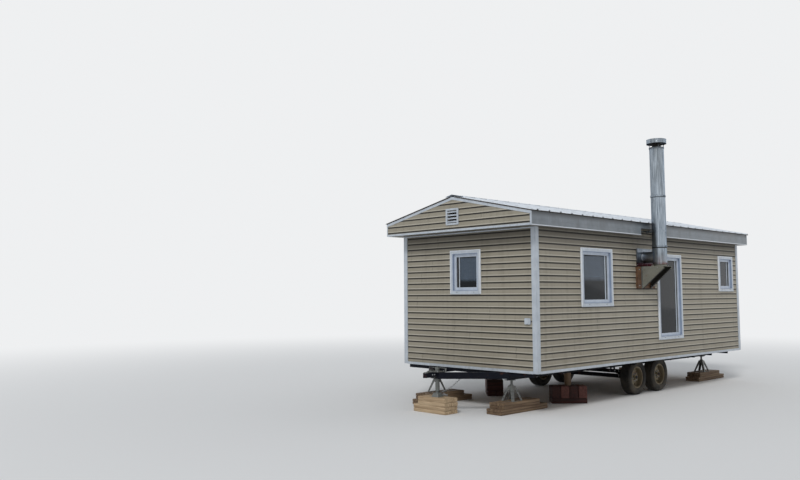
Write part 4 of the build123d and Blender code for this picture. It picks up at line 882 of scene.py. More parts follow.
# Back door: raised panels, lever handle, lock, hinge barrels and threshold
low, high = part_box("back_door")
door_side = Side("y", high.y, 1)
cx, width = (low.x + high.x) / 2, high.x - low.x
panels, iron, threshold = shapes(3)
for z0, z1 in mm(220, 860, 1040, 1760):
    for u in (cx - 0.195, cx + 0.195):
        z = FLOOR_TOP + (z0 + z1) / 2
        panels.frame_sweep(door_side, u, z, 0.27, z1 - z0, mm(0, 0.3, 4, 5.2, 12, 6, 20, 1.5, 30, 0.3))
        panels.frame_sweep(door_side, u, z, 0.19, z1 - z0 - 0.08, mm(0, 0.3, 14, 4.8, 30, 4.8, 30, 0.3))
panels.piece("door_panels", "door_paint")
x, y, z = door_side.spot(cx - width / 2 + 0.07, FLOOR_TOP + 0.96, 0)
iron.disc((x, y, z), (0, 1, 0), mm(31, 0, 31, 4, 27, 8, 12, 10, 11, 36), 28)
iron.tube([Vector((x, y, z)) + Vector((a, b, 0)) for a, b in mm(0, 34, 12, 43, 34, 46, 110, 44)], 0.0085, 14)
z += 0.14
iron.disc((x, y, z), (0, 1, 0), mm(27, 0, 27, 6, 22, 12, 13, 13), 28)
iron.box((x - 0.0015, y + 0.012, z - 0.006), (x + 0.0015, y + 0.0145, z + 0.006))
for z in (0.2, 0.98, 1.76):
    iron.disc((high.x + 0.002, high.y + 0.007, FLOOR_TOP + z - 0.05), UP, mm(4, -4, 6.5, 0, 6.5, 100, 4, 104), 14)
iron.piece("door_furniture", "stainless", sharp=35)
threshold.run(BACK, cx - 0.47, cx + 0.47,
              [(FLOOR_TOP + a, d) for d, a in mm(-35, 0, 44, -10, 44, -16, 34, -20, 26, -20, 25.5, -6, -35, -2)])
threshold.piece("door_threshold", zinc, "galvanised")


# Chimney: locking bands and seams of the pipe, then its cap, cover plate, fixings and bracket irons
def band(z, r, height, lug):
    """A rolled locking band with its draw lug and screw."""
    bands.lathe(flue(z), UP, [
        (-0.0002, 0.0), (0.0018, 0.0008), (0.004, 0.004), (0.004, 0.0075), (0.0012, 0.0105),
        (0.0012, height - 0.0105), (0.004, height - 0.0075), (0.004, height - 0.004),
        (0.0018, height - 0.0008), (-0.0002, height)], core=r)
    way, across = heading(toward_camera + lug)
    for sign in ENDS:
        c = flue(z + height / 2) + way * (r + 0.01) + across * sign * 0.011
        bands.loft([[c + way * a + across * b + Vector((0, 0, h))
                     for a, b in mm(-9, -1.8, 9, -1.8, 9, 1.8, -9, 1.8)]
                    for h in (-0.01, 0.01)])
    start = flue(z + height / 2) + way * (r + 0.0125) - across * 0.02
    bands.disc(start, across, mm(2.8, 0, 2.8, 44), 10)
    bands.disc(start, -across, mm(6, -1, 6, 4), 6)


bands, seams, cap, shade_rings, plate, fixings, irons = shapes(7)
toward_camera = math.atan2(EYE[1] - CHIMNEY_Y, EYE[0] - CHIMNEY_X)
for z in JOINT_LEVELS:
    band(z, PIPE_R + 0.005, 0.03, 0.9)
band(PIPE_TOP - 0.026, PIPE_R + 0.004, 0.026, -0.8)
band(TEE_LOW + 0.004, PIPE_R + 0.0004, 0.028, 1.3)
for z0, z1, turn in ((TEE_LOW + 0.032, JOINT_LEVELS[0], -0.6), (JOINT_LEVELS[0] + 0.03, JOINT_LEVELS[1], 1.9),
                     (JOINT_LEVELS[1] + 0.03, PIPE_TOP - 0.028, 1.9)):
    way, across = heading(toward_camera + turn)
    seams.loft([[flue(z) + way * (PIPE_R + d) + across * b
                 for d, b in mm(-1, -11, 0.6, -10, 1.8, -5.5, 1.8, 5.5, 0.6, 10, -1, 11)] for z in (z0, z1)])
    for z in (z0 + 0.012, z1 - 0.012):
        seams.lathe(flue(z), UP, mm(-0.5, -5, 1.4, -2.2, 1.4, 2.2, -0.5, 5), core=PIPE_R)
bands.piece("chimney_bands", "stainless", sharp=25)
seams.piece("chimney_seams", "stainless", sharp=25)

# Rain cap: a drum with rolled rims and a middle bead, on four riveted straps from a collar
cap.lathe(flue(CAP_LOW), UP, mm(169, 0, 174.2, 0, 176, 2.2, 176, 5.2, 174.2, 7.6, 172.6, 9, 172.6, 30, 174.2, 31.5,
                                175.2, 34.5, 174.2, 37.5, 172.6, 39, 172.6, 72, 174.2, 74, 176, 76.2, 176, 80,
                                174, 83.8, 170, 85.6, 160, 86, 150, 84, 60, 85.2, 1.5, 85.4, 1.5, 81.5, 150, 80.2,
                                169, 80.2, 169, 6), 96)
cap.disc(flue(CAP_HIGH - 0.004), UP, mm(7, 0, 7, 2.8, 4.5, 4))
collar = PIPE_TOP - 0.024
cap.lathe(flue(collar), UP, mm(0, 0, 4, 0, 4, 22, 2.8, 24, 0, 24), core=PIPE_R)
for k in range(4):
    way, across = heading(math.radians(45 + 90 * k))
    foot = flue(0) + way * PIPE_R
    cap.loft([[foot + way * r + across * b + Vector((0, 0, z))
               for r, b in mm(0, -13, 3.4, -13, 4, -11.8, 4, 11.8, 3.4, 13, 0, 13)]
              for z in (collar, CAP_HIGH - 0.0052)])
    for z in (collar + 0.012, CAP_LOW + 0.012):
        cap.disc(foot + way * 0.004 + Vector((0, 0, z)), way, mm(4.5, -0.5, 4.5, 1.2, 2.6, 2.4), 10)
cap.lathe(flue(PIPE_TOP), UP, mm(78.5, -4, 126.5, -4, 126.5, 1.2, 98, 6, 78.5, 6))
cap.piece("rain_cap_drum", "stainless", sharp=25, instead="rain_cap")
# A near-black sleeve in the gap under the cap and thin near-black rings under the joint bands: painted shade.
shade_rings.lathe(flue(PIPE_TOP), UP, mm(74.5, -30, 77.5, -30, 77.5, 66, 118, 90.5, 116.5, 93, 74.5, 69), 60)
for z, tall in ((JOINT_LEVELS[0], 0.017), (JOINT_LEVELS[1], 0.007), (TEE_LOW + 0.032, 0.01)):
    shade_rings.lathe(flue(z), UP, [(-0.0005, -tall), (0.0024, -tall), (0.0024, 0), (-0.0005, 0)], core=PIPE_R)
shade_rings.piece("chimney_painted_shade_rings", shade_steel)

low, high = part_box("wall_thimble")
thimble_z, out = (low.z + high.z) / 2, (0, -1, 0)
plate.frame_sweep(FRONT, CHIMNEY_X, thimble_z, 0.56, 0.318,
                  mm(-0.6, 2, -0.6, 24.5, 1.8, 25.2, 20, 20.6, 23, 19.4, 1, 19.2))
plate.lathe((CHIMNEY_X, Y_FRONT - 0.005, thimble_z), out,
            mm(102.3, 0, 148, 0, 148, 2.2, 112, 4.4, 106, 22, 102.3, 22), 64)
plate.lathe((CHIMNEY_X, Y_FRONT - 0.06, thimble_z), out, mm(101.8, 0, 104.6, 2, 105.2, 10, 104.6, 18, 101.8, 20), 64)
plate.piece("thimble_plate_edges", "stainless", sharp=25)
low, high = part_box("backing_board")
for su in (-0.255, -0.09, 0.09, 0.255):
    for sz in (-0.134, 0.134):
        fixings.bolt(FRONT.spot(CHIMNEY_X + su, thimble_z + sz, 0.0195), out, 0.01, 0.006)
for su in (-0.26, -0.15, 0.15, 0.26):
    for z in (low.z + 0.05, high.z - 0.05):
        fixings.bolt((CHIMNEY_X + su, low.y, z), out, 0.016, 0.011)
for sx in ENDS:
    x, side = CHIMNEY_X + sx * 0.15, (sx, 0, 0)
    for t in (0.12, 0.5, 0.88):
        fixings.bolt((x + sx * 0.0025, low.y - 0.34 * t, 2.342), side, 0.012, 0.008)
    for dy in (-0.1, 0.1):
        fixings.bolt((CHIMNEY_X + sx * 0.118, CHIMNEY_Y + dy, 2.367), UP, 0.012, 0.008)
    fixings.bolt((CHIMNEY_X + sx * 0.096 + sx * 0.002, CHIMNEY_Y + 0.115, STRAP_Z), side, 0.012, 0.008)
    irons.box((x + sx * 0.0026, low.y - 0.0045, 1.972), (x + sx * 0.04, low.y - 0.0005, 2.36))
    irons.box((x - sx * 0.0026, low.y - 0.4, 2.3565), (x - sx * 0.036, low.y - 0.004, 2.3615))
    irons.box((CHIMNEY_X + sx * 0.0945, FRONT.at - 0.0205, STRAP_Z - 0.02),
              (CHIMNEY_X + sx * 0.128, FRONT.at - 0.0155, STRAP_Z + 0.02))
fixings.piece("chimney_fixings", zinc, "galvanised")
irons.piece("bracket_angles", "galvanised", bevel=0.001)


# Timber: separate sawn planks and blocks with worn edges, in place of the plain stacks
def plank(shape, low, high, along, chooser, wear=0.004, turn=0.0):
    """A sawn piece with softened edges and uneven faces; along is 0 for X, 1 for Y and 2 for Z, turn is about Z."""
    size = [b - a for a, b in zip(low, high)]
    first, second = [k for k in range(3) if k != along]
    steps = max(2, int(size[along] / 0.11))
    seed = Vector([chooser.uniform(-40, 40) for _ in range(3)])
    middle, spin = (Vector(low) + Vector(high)) / 2, Matrix.Rotation(turn, 3, "Z")
    half_a, half_b = size[first] / 2, size[second] / 2
    loops = []
    for i in range(steps + 1):
        t = i / steps
        inset = wear * 1.2 if i in (0, steps) else 0.0
        a, b = half_a - inset * 0.4, half_b - inset * 0.4
        c = wear * (0.8 + 0.5 * chooser.random())
        loop = []
        for p, q in ((-a, -b + c), (-a + c, -b), (a - c, -b), (a, -b + c), (a, b - c), (a - c, b), (-a + c, b),
                     (-a, b - c)):
            bow = 0.0014 * math.sin(t * 7 + seed.x) if abs(q) > half_b - c * 1.1 and q > 0 else 0.0
            point = [0, 0, 0]
            point[along] = low[along] + size[along] * t
            point[first] = low[first] + half_a + p
            point[second] = low[second] + half_b + q - abs(bow)
            loop.append(middle + spin @ (Vector(point) - middle))
            shape.grain.append((size[along] * t + seed.x, p + seed.y, q + seed.z))
        loops.append(loop)
    shape.loft(loops)


CRIB_TURN = math.radians(43.5)


def solids_of(name):
    """The solids of a CAD node as boxes (low, high, turn), turned the way that fits each most closely."""
    work = bmesh.new()
    work.from_mesh(nodes[name].data)
    bmesh.ops.remove_doubles(work, verts=work.verts, dist=0.00002)
    left, found = set(work.verts), []
    while left:
        group, queue = [], [left.pop()]
        while queue:
            vert = queue.pop()
            group.append(vert.co.copy())
            fresh = {edge.other_vert(vert) for edge in vert.link_edges} & left
            left -= fresh
            queue += fresh
        fits = []
        for turn in (0.0, CRIB_TURN, -CRIB_TURN):
            spin = Matrix.Rotation(turn, 3, "Z")
            flat = [spin.inverted() @ p for p in group]
            low, high = (Vector([pick(p[k] for p in flat) for k in range(3)]) for pick in (min, max))
            half, middle = (high - low) / 2, spin @ ((high + low) / 2)
            fits.append((round(half.x * half.y, 5), tuple(middle - half), tuple(middle + half), turn))
        found.append(min(fits)[1:])
    work.free()
    return sorted(found)


# Every solid as sawn boards along its longer side; straight layers are two boards thick
for name in ("lower_timbers", "upper_timbers"):
    tongue, stands, turned = shapes(3)
    chooser = random.Random(len(name) * 5)
    for low, high, turn in solids_of(name):
        size = [b - a for a, b in zip(low, high)]
        along = max(range(3), key=lambda k: size[k])
        parts = 1 if turn or along == 2 else 2
        for k in range(parts):
            slip = [chooser.uniform(0.0, 0.01) if parts == 2 and axis == along else 0.0 for axis in range(3)]
            bottom, top = low[2] + size[2] * k / parts, low[2] + size[2] * (k + 1) / parts
            boards = turned if turn else tongue if high[0] < X_LEFT - 0.4 else stands
            plank(boards, (low[0] + slip[0], low[1] + slip[1], bottom),
                  (high[0] - slip[0], high[1] - slip[1], top), along, chooser, turn=turn)
    for boards, kind, look in ((tongue, "tongue_planks", "timber"), (stands, "planks", weathered),
                               (turned, "crib_planks", "crib")):
        if boards.verts:
            boards.piece(name.replace("timbers", kind), look, "timber", 50, instead=name)

# Red blocks of the two cribs, dark and light in turn along each row
dark_blocks, light_blocks = shapes(2)
chooser = random.Random(5)
for near in (True, False):
    row = [solid for solid in solids_of("crib_blocks") if (solid[0][1] < Y_MID) == near]
    for count, (low, high, turn) in enumerate(row):
        plank((dark_blocks, light_blocks)[count % 2], low, high, 1, chooser, 0.007, turn)
for blocks, shade, look in ((dark_blocks, "dark", looks["crib"]), (light_blocks, "light", crib_light)):
    blocks.piece("crib_blocks_" + shade, look, "crib", 50, instead="crib_blocks")

# Running gear: tyres with cut treads, sidewall rings and ribs, wheel nuts, valves and rim beads
WALL = mm(187, 24.5, 200.5, 24.5, 208, 13, 216, 6.8, 217.5, 3.8, 220, 3.8, 221.5, 5.2, 240, 0.6, 252, 1.2,
          253.5, -0.2, 256.5, 0.2, 258, 2.2, 272, 4, 286, 7.5, 301, 15, 309.5, 29)
TREAD_BASE, TREAD_COUNT = 0.3112, 64


def tyre_mesh(y_face, inward, x):
    """A tyre of the solid's outline with ribs, blocks and sidewall rings, turned about its axle."""
    shape = Shape()
    shape.lathe((x, y_face, AXLE_Z), (0, inward, 0),
                WALL + [(TREAD_BASE, 0.036), (TREAD_BASE, TYRE_W - 0.036)] + [(r, TYRE_W - y) for r, y in WALL[::-1]],
                96)
    for a0, a1, skew, low, high in ((0.012, 0.046, 0.35, True, False), (0.052, 0.082, 0.0, False, False),
                                    (0.088, 0.117, 0.5, False, False), (0.123, 0.153, 0.0, False, False),
                                    (0.159, 0.193, 0.35, False, True)):
        foot, crown = TREAD_BASE - 0.003, 0.3196
        ring = ((a0, 0.304 if low else foot), (a1, 0.304 if high else foot), (a1 - 0.001, 0.311 if high else crown),
                ((a0 + a1) / 2, 0.3197), (a0 + 0.001, 0.311 if low else crown))
        for k in range(TREAD_COUNT):
            start = 2 * math.pi * (k + skew) / TREAD_COUNT
            stop = start + 2 * math.pi / TREAD_COUNT * 0.8
            shape.loft([[(x + r * math.cos(a), y_face + inward * v, AXLE_Z + r * math.sin(a)) for v, r in ring]
                        for a in (start, (start + stop) / 2, stop)])
    for way in ENDS:
        for k in range(TREAD_COUNT // 2):
            angle = 2 * math.pi * (k + 0.25) / (TREAD_COUNT // 2)
            radial = Vector((math.cos(angle), 0, math.sin(angle)))
            across, out = Vector((-radial.z, 0, radial.x)), Vector((0, inward * way, 0))
            shape.loft([[Vector((x, y_face + inward * (d if way < 0 else TYRE_W - d), AXLE_Z)) + radial * r
                         + across * b + out * c
                         for b, c in mm(-6, -2, -5, 1.8, 5, 1.8, 6, -2)]
                        for r, d in mm(278, 5.2, 301, 15)])
    return shape


for side, y_face in WHEEL_FACES.items():
    inward = 1 if side == "front" else -1
    for place, x in AXLES.items():
        key = f"{side}_{place}"
        body, out = key + "_wheel", (0, -inward, 0)
        tyre_mesh(y_face, inward, x).piece(key + "_tread", "tyre", sharp=28, body=body, instead=key + "_tyre")
        hub, dress = shapes(2)
        rim = y_face + inward * (TYRE_W - RIM_W) / 2
        disc = y_face + inward * ((TYRE_W - RIM_W) / 2 + 0.058)
        for k in range(6):
            a = 2 * math.pi * k / 6 + 0.2
            at = (x + 0.0698 * math.cos(a), disc, AXLE_Z + 0.0698 * math.sin(a))
            hub.disc(at, out, mm(12.5, -2, 12.5, 3, 10.8, 3.5), 20)
            hub.disc(at, out, mm(10.8, 2, 10.8, 18, 8.5, 20.5), 6, a)
            hub.disc(at, out, mm(5.8, 18, 5.8, 26, 4.5, 27), 12)
        for r, deep in mm(196.5, 0.4, 176, 13):
            dress.lathe((x, rim, AXLE_Z), (0, inward, 0), [(-0.003, deep + 0.001), (-0.0012, deep - 0.0016),
                        (0.0012, deep - 0.0016), (0.0024, deep + 0.001)], core=r)
        hub.disc((x + 0.15 * math.cos(2.2), disc - inward * 0.012, AXLE_Z + 0.15 * math.sin(2.2)), out,
                 mm(6.5, -4, 5.5, 10, 4, 12, 4, 24, 4.8, 24.5, 4.8, 34, 3, 35), 14)
        hub.piece(key + "_nuts", zinc, "galvanised", body=body)
        dress.piece(key + "_rim_beads", "rim", body=body)

# Springs: separate leaves with rolled eyes, in place of the stepped packs, with clamps, U-bolts and pins
LEAVES, LEAF, LEAF_STEP, CAMBER = 4, 0.007, 0.072, 0.88333
SPRING_HALF, EYE_REACH, EYE_Z, TOP_LEAF = 0.03, 0.32, 0.4508, 0.3908
AXLE_TOP, U_BOLT = AXLE_Z + 0.0383, 0.0445


def camber(s, leaf, off=0.0):
    """How high leaf's middle line lies at a distance along from the axle; off is outwards, so downwards."""
    r = CAMBER + leaf * LEAF + off
    return TOP_LEAF + CAMBER - math.sqrt(r * r - s * s)


leaves, straps, rods, pins, welds, chassis_bolts, hubs, dome, latch, screw, jack_parts, chain = shapes(12)
for x in AXLES.values():
    for y in (RAIL_FRONT, RAIL_BACK):
        for leaf in range(LEAVES):
            reach = EYE_REACH - leaf * LEAF_STEP - (0.01 if leaf == 0 else 0.0)
            loops = []
            for k in range(19):
                s = reach * (k / 9 - 1)
                a, b = SPRING_HALF - (0.007 if k in (0, 18) and leaf else 0.0), LEAF / 2 - 0.0003
                c, e = a - 0.0012, b - 0.0012
                loops.append([(x + s, y + v, camber(s, leaf, off)) for v, off in (
                    (-a, e), (-c, b), (c, b), (a, e), (a, -e), (c, -b), (-c, -b), (-a, -e))])
            leaves.loft(loops)
        for end in ENDS:
            leaves.lathe((x + end * EYE_REACH, y - SPRING_HALF, EYE_Z), (0, 1, 0),
                         mm(7.3, 0, 13.5, 0, 14.3, 1, 14.3, 59, 13.5, 60, 7.3, 60), 32)
            s = end * 0.14
            a, b = x + s - 0.01, x + s + 0.01
            top, low = camber(s, 0, -LEAF / 2) + 0.0035, camber(s, 2, LEAF / 2)
            straps.box((a, y - 0.0335, low - 0.003), (b, y + 0.0335, low))
            straps.box((a, y - 0.0335, top - 0.003), (b, y + 0.0335, top))
            for side in ENDS:
                straps.box((a, y + side * 0.0305, low - 0.003), (b, y + side * 0.0335, top))
                at, way = (x + end * EYE_REACH, y + side * 0.042, EYE_Z), (0, side, 0)
                pins.bolt(at, way, 0.022, 0.011)
                pins.disc(at, way, mm(7, 8, 7, 17, 5.5, 18.5), 14)
        straps.box((x - 0.048, y - SPRING_HALF, AXLE_TOP - 0.006), (x + 0.048, y + SPRING_HALF, 0.3668))
        straps.box((x - 0.058, y - 0.05, 0.3946), (x + 0.058, y + 0.05, 0.4046))
        pins.bolt((x, y, 0.4046), UP, 0.018, 0.009)
        for v in (y - 0.0375, y + 0.0375):
            near, far = x - U_BOLT, x + U_BOLT
            turns = [(x - U_BOLT * math.cos(a), v, AXLE_Z - U_BOLT * math.sin(a))
                     for a in (math.pi * k / 10 for k in range(1, 10))]
            rods.tube([(near, v, 0.424), (near, v, 0.372), (near, v, AXLE_Z), *turns,
                       (far, v, AXLE_Z), (far, v, 0.372), (far, v, 0.424)], 0.006)
            for u in (near, far):
                pins.disc((u, v, 0.4046), UP, mm(12.5, 0, 12.5, 2.2, 11.5, 3), 18)
                pins.disc((u, v, 0.4066), UP, mm(10.5, 0, 10.5, 10, 9.2, 11.2), 6, u)
leaves.piece("spring_leaves", "chassis", sharp=40, instead="leaf_springs")
straps.piece("spring_straps", "chassis", bevel=0.001)
rods.piece("spring_u_bolts", zinc)
pins.piece("spring_bolts", zinc)


# Chassis: bolted flanges, weld beads where members meet, and hub seals on the axles
def bead(start, stop, r=0.004):
    """A weld's rippled bead between two points."""
    a, b = Vector(start), Vector(stop)
    way = b - a
    count = max(3, int(way.length / 0.012))
    up = way.orthogonal().normalized()
    across = way.normalized().cross(up)
    welds.loft([[a + way * (k / (count * 2)) + (up * math.cos(t) + across * math.sin(t)) * (r * (1 if k % 2 else 0.78))
                 for t in (math.pi * j / 4 for j in range(8))] for k in range(count * 2 + 1)])


cross_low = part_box("crossmembers")[0].z
rail_low, rail_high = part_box("chassis_rails")
cross_count = int((rail_high.x - rail_low.x - 0.05) // 0.76) + 1
cross_step = (rail_high.x - rail_low.x - 0.05) / (cross_count - 1)
for k in range(cross_count):
    x = rail_low.x + 0.025 + k * cross_step
    clear = abs(x - (AXLES["lead"] + AXLES["rear"]) / 2) > 0.86
    for y, out in ((RAIL_FRONT, -1), (RAIL_BACK, 1)):
        for face in (1, -1) if clear else (1,):
            wall = y - out * face * 0.032
            for u in (x - 0.025, x + 0.025):
                bead((u, wall, cross_low + 0.004), (u, wall, RAIL_TOP - 0.004), 0.0035)
            bead((x - 0.023, wall, cross_low), (x + 0.023, wall, cross_low), 0.0035)
        for u in (x - 0.012, x + 0.012):
            chassis_bolts.bolt((u, y + out * 0.02, RAIL_BOTTOM + 0.0005), (0, 0, -1), 0.012, 0.007)
tongue_low, tongue_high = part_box("tongue_beams")
for out, y in ((-1, RAIL_FRONT), (1, RAIL_BACK)):
    x, wall = rail_low.x, y - out * 0.032
    bead((x, wall, tongue_low.z), (x, wall, tongue_high.z))
    bead((x - 0.002, wall, tongue_low.z), (x - 0.002, wall + out * 0.086, tongue_low.z))
hitch_low, hitch_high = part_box("coupler")
x, top, HITCH_HALF = hitch_high.x, hitch_high.z, 0.042
near, far = Y_MID - HITCH_HALF, Y_MID + HITCH_HALF
for y in (near, far):
    bead((x, y, hitch_low.z + 0.003), (x, y, top))
bead((x, near, top), (x, far, top))
welds.piece("chassis_welds", "chassis", sharp=50)
for side, y_face in WHEEL_FACES.items():
    inward = 1 if side == "front" else -1
    for x in AXLES.values():
        hubs.lathe((x, y_face + inward * 0.272, AXLE_Z), (0, inward, 0),
                   mm(37.8, 0, 52, 0, 54, 3, 54, 10, 48, 14, 37.8, 14), 36)
hubs.piece("axle_flanges", "chassis")

# Coupler: pressed dome over the ball, latch with its pin, and side bolts
RING, PIN_X = 0.013, 0.05
ball, x = hitch_low.x + 0.042, hitch_high.x
dome.disc((ball, Y_MID, top), UP, mm(36, -2, 35, 4, 29, 10, 18, 13.5, 6, 14.5), 40)
for out in ENDS:
    edge = Y_MID + out * HITCH_HALF
    dome.box((hitch_low.x + 0.028, edge - out * 0.001, hitch_low.z),
             (x - 0.002, edge + out * 0.0035, hitch_low.z + 0.007))
    for u in (0.05, 0.095):
        chassis_bolts.bolt((x - u, edge, 0.606), (0, out, 0), 0.017, 0.009)
dome.piece("coupler_pressing", "galvanised", bevel=0.0012, sharp=40)
latch.loft([[(ball + a, Y_MID + out * 0.0125, top + b)
             for a, b in mm(30, -1, 46, -1, 60, 18, 132, 30, 136, 37, 128, 41, 52, 30, 34, 12)] for out in ENDS])
latch.tube([(ball + PIN_X, Y_MID + v, top + 0.012) for v in (-0.03, 0.03)], 0.005)
latch.tube([(ball + PIN_X + RING * math.cos(a), Y_MID - 0.031, top + 0.002 + RING * math.sin(a))
            for a in (2 * math.pi * k / 18 for k in range(18))], 0.0016, 8, ring=True)
latch.piece("coupler_latch", "galvanised", bevel=0.0008, sharp=40)

# Tongue jack: collars, thread, foot plate, flange bolts and the folded crank's pivot and grip
CRANK_END, GRIP_Y = 0.24588, -0.03212
for k in range(5):
    screw.lathe((JACK_X, Y_MID, 0.3105 + k * 0.0062), UP, mm(24, -2.2, 26.2, 0, 24, 2.2), 36)
for profile, steps in (
        (mm(34.5, 338, 38.8, 338, 39.5, 341, 39.5, 352, 38, 355, 34.5, 355), 48),
        (mm(34.5, 652, 43, 652, 39.5, 658, 34.5, 660), 48),
        (mm(34.5, 688, 37.5, 688, 38.2, 691, 38.2, 702, 36.5, 705.2, 34.5, 705.2), 48),
        (mm(26.5, 308.5, 40, 308.5, 38.5, 313.5, 26.5, 315), 40)):
    jack_parts.lathe((JACK_X, Y_MID, 0), UP, profile, steps)
jack_parts.disc((JACK_X, Y_MID, 0.713), UP, mm(13.5, 0, 13.5, 3, 9.5, 4.5), 24)
jack_parts.disc((JACK_X, Y_MID, 0.7172), UP, mm(8.5, 0, 8.5, 7, 7, 8.5), 6)
for sx in ENDS:
    jack_parts.box((JACK_X + sx * 0.007, CRANK_END - 0.29, 0.7048), (JACK_X + sx * 0.0106, CRANK_END, 0.7142))
for z in (0.659, 0.668, 0.677, 0.686, 0.695):
    jack_parts.lathe((JACK_X, GRIP_Y, z), UP, mm(11.5, -3.4, 12.8, -2, 12.8, 2, 11.5, 3.4), 28)
for sx, sy in CORNERS:
    chassis_bolts.bolt((JACK_X + sx * 0.072, Y_MID + sy * 0.072, 0.652), UP, 0.018, 0.011)
    chassis_bolts.bolt((JACK_X + sx * 0.061, Y_MID + sy * 0.061, 0.2565), (sx * 0.5, sy * 0.5, 1), 0.012, 0.007)
screw.piece("jack_thread", zinc, "galvanised", 20)
jack_parts.piece("jack_collars", "galvanised", bevel=0.0008, sharp=35)


# Safety chain from the near beam down to the jack's foot, where the rest of it lies
def link(middle, way, across):
    """One welded link lying along a way, with its flat side across."""
    length, width, rod = 0.034, 0.023, 0.0034
    way = Vector(way).normalized()
    side = (Vector(across) - way * Vector(across).dot(way)).normalized()
    straight, bend = (length - width) / 2 + rod, width / 2 - rod
    chain.tube([Vector(middle) + way * end * (straight + bend * math.cos(a)) + side * end * bend * math.sin(a)
                for end in (1, -1) for a in (math.pi * (k / 6 - 0.5) for k in range(7))], rod, 8, ring=True)


start, stop = Vector((-3.805, -0.168, 0.536)), Vector((-3.925, 0.1, 0.33))
hang = [start.lerp(stop, k / 13) - Vector((0, 0, 0.03 * math.sin(math.pi * k / 13))) for k in range(14)]
for k, (a, b) in enumerate(zip(hang, hang[1:])):
    link((a + b) / 2, b - a, (0.9, 0.35, 0.0) if k % 2 else (0.1, 0.3, 1.0))
heap = mm(-3928, 82, -3912, 60, -3890, 43, -3866, 48, -3856, 72, -3866, 96, -3888, 108, -3902, 128, -3890, 150,
          -3868, 162)
for k, ((ax, ay), (bx, by)) in enumerate(zip(heap, heap[1:])):
    rise = 0.264 + 0.01 * (k % 2) + (0.03 if k == 0 else 0.0)
    link(((ax + bx) / 2, (ay + by) / 2, rise), (bx - ax, by - ay, -0.01 if k else -0.02),
         (0.2, 0.2, 1.0) if k % 2 else (by - ay, ax - bx, 0.35))
link((-3.805, -0.168, 0.546), UP, (1, 0.6, 0))
chain.piece("safety_chain", zinc, "galvanised", 60)
chassis_bolts.piece("chassis_bolts", zinc)

# Jack stands: threads, lock nuts, base lips and the oval holes' rims in the side legs, with a dark disc of painted
# shade in each hole
stand_bits, hole_shade, ends, lip = shapes(4)
base_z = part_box("jack_stands")[0].z
STAND_RISE, BASE_HALF = 0.236, 0.12
for x in (X_LEFT + 0.165, X_LEFT + 6.79):
    for y in (RAIL_FRONT, RAIL_BACK):
        z = base_z + STAND_RISE
        while z < RAIL_BOTTOM - 0.016:
            stand_bits.lathe((x, y, z), UP, mm(18.2, -1.8, 20, 0, 18.2, 1.8), 28)
            z += 0.0055
        stand_bits.disc((x, y, base_z + STAND_RISE), UP, mm(33, 0, 33, 17, 30, 19), 6, 0.2)
        for sx, sy in ((1, 0), (-1, 0), (0, 1), (0, -1)):
            far_x, near_x = (sx * BASE_HALF, sx * 0.1125) if sx else (0.119, -0.119)
            far_y, near_y = (sy * BASE_HALF, sy * 0.1125) if sy else (0.119, -0.119)
            stand_bits.box((x + near_x, y + near_y, base_z + 0.0002), (x + far_x, y + far_y, base_z + 0.0052))
            out = Vector((sx, sy, 0.33)).normalized()
            for lean in ENDS:
                for t in (0.2, 0.42, 0.62):
                    wide = BASE_HALF - t * 0.078
                    leg = lean * (wide - (0.034 - 0.012 * t) / 2)
                    at = Vector((x + (sx * wide or leg), y + (sy * wide or leg), base_z + STAND_RISE * t))
                    # Painted shade inside each oval hole.
                    hole_shade.disc(at + out * 0.0002, out, mm(7.8, -1, 7.8, 0.6), 20)
                    stand_bits.lathe(at, out, mm(7.6, 0, 9.2, 0, 8.8, 2.2, 8, 2.2), 20)
stand_bits.piece("stand_threads_and_rims", "galvanised", sharp=25)
hole_shade.piece("stand_leg_holes", gasket)

# White end folds of the fascias at the gables, and the cover plate's rusted lower lip
for sx, sy in CORNERS:
    x, y = (GABLE_LEFT, GABLE_RIGHT)[sx > 0], (EAVE_FRONT, EAVE_BACK)[sy > 0]
    for a, b, c in ((0.0005, -0.0034, 0.026), (0.012, -0.0034, -0.0016)):
        ends.box((x + sx * 0.0028, y - sy * b, SOFFIT - 0.003), (x - sx * a, y - sy * c, FASCIA_TOP - 0.004))
ends.piece("fascia_end_folds", "white_trim", bevel=0.0008)
lip.block(FRONT, CHIMNEY_X - 0.279, CHIMNEY_X + 0.279, thimble_z - 0.1605, thimble_z - 0.1465, 0.0205, 0.0262)
lip.piece("thimble_rust_lip", rust_steel, "stainless", bevel=0.0012)

# Studio: a pale floor that fades into the backdrop, soft light and the photograph's camera
BACKDROP = (0.86, 0.87, 0.88, 1)
scene = bpy.context.scene


def placed(name, data):
    made = bpy.data.objects.new(name, data)
    scene.collection.objects.link(made)
    return made


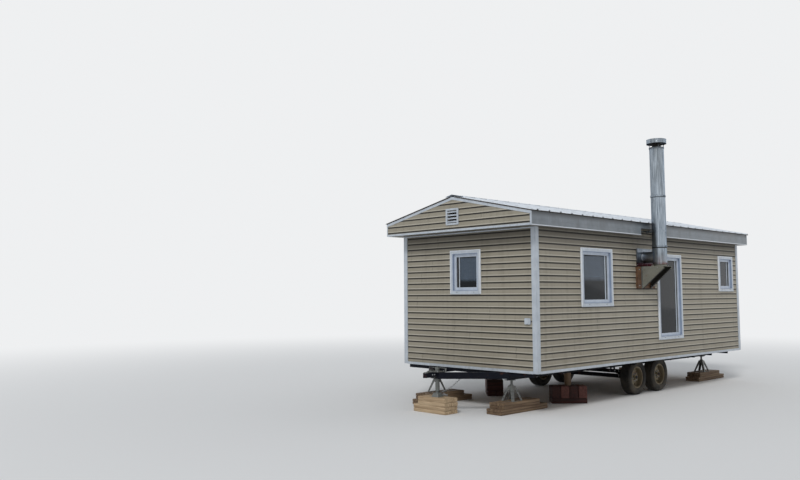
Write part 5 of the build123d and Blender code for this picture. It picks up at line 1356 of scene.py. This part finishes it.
def studio_floor():
    look = bpy.data.materials.new("studio_floor")
    look.use_nodes = True
    tree = look.node_tree
    tree.nodes.clear()
    place, reach, fade, matt, glow, blend, out = (tree.nodes.new("ShaderNode" + kind) for kind in (
        "TexCoord", "VectorMath", "MapRange", "BsdfDiffuse", "Emission", "MixShader", "OutputMaterial"))
    reach.operation = "LENGTH"
    fade.interpolation_type = "SMOOTHSTEP"
    fade.inputs["From Min"].default_value, fade.inputs["From Max"].default_value = 7.0, 24.0
    matt.inputs["Color"].default_value = (0.8, 0.8, 0.79, 1)
    glow.inputs["Color"].default_value = BACKDROP
    for a, b in ((place.outputs["Object"], reach.inputs[0]), (reach.outputs["Value"], fade.inputs["Value"]),
                 (fade.outputs[0], blend.inputs[0]), (matt.outputs[0], blend.inputs[1]),
                 (glow.outputs[0], blend.inputs[2]), (blend.outputs[0], out.inputs["Surface"])):
        tree.links.new(a, b)
    ground = bmesh.new()
    bmesh.ops.create_circle(ground, cap_ends=True, segments=64, radius=90)
    data = bpy.data.meshes.new("studio_floor")
    ground.to_mesh(data)
    ground.free()
    data.materials.append(look)
    floor = placed("studio_floor", data)
    floor.location.z = -0.001
    floor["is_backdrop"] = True


def studio_light():
    """A backdrop for what the camera sees, directly, mirrored or through glass, and a dimmer sky for the rest."""
    world = bpy.data.worlds.new("studio_world")
    scene.world = world
    world.use_nodes = True
    tree = world.node_tree
    path, pick, seen, clear = (tree.nodes.new("ShaderNode" + kind) for kind in ("LightPath", "Mix", "Math", "Math"))
    pick.data_type = "RGBA"
    seen.use_clamp = clear.use_clamp = True
    for a, b in ((path.outputs["Is Camera Ray"], seen.inputs[0]), (path.outputs["Is Glossy Ray"], seen.inputs[1]),
                 (seen.outputs[0], clear.inputs[0]), (path.outputs["Is Transmission Ray"], clear.inputs[1]),
                 (clear.outputs[0], pick.inputs[0]), (pick.outputs[2], tree.nodes["Background"].inputs["Color"])):
        tree.links.new(a, b)
    pick.inputs[6].default_value = (0.46, 0.48, 0.51, 1)
    pick.inputs[7].default_value = BACKDROP
    for name, turn, strength, spread in (("key", (48, 0, -62), 1.12, 14), ("fill", (62, 0, 70), 0.33, 60)):
        lamp = bpy.data.lights.new(name, "SUN")
        lamp.energy, lamp.angle = strength, math.radians(spread)
        placed(name, lamp).rotation_euler = [math.radians(a) for a in turn]


def camera():
    lens = bpy.data.cameras.new("camera")
    lens.sensor_width, lens.lens = 36.0, 35.16
    lens.shift_x, lens.shift_y = 0.002, -0.0064
    lens.clip_start, lens.clip_end = 0.1, 300
    yaw, pitch, roll = (math.radians(a) for a in (43.54, 4.42, -0.32))
    ahead = Vector((math.sin(yaw) * math.cos(pitch), math.cos(yaw) * math.cos(pitch), math.sin(pitch)))
    right = Vector((math.cos(yaw), -math.sin(yaw), 0))
    up = right.cross(ahead)
    right, up = right * math.cos(roll) + up * math.sin(roll), up * math.cos(roll) - right * math.sin(roll)
    turn = Matrix((right, up, -ahead)).transposed().to_4x4()
    scene.camera = placed("camera", lens)
    scene.camera.matrix_world = Matrix.Translation(EYE) @ turn


studio_floor()
studio_light()
camera()
scene.view_settings.view_transform = "Standard"
low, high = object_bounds()
{"cad": [list(cad_low), list(cad_high)], "visual": [list(low), list(high)]}
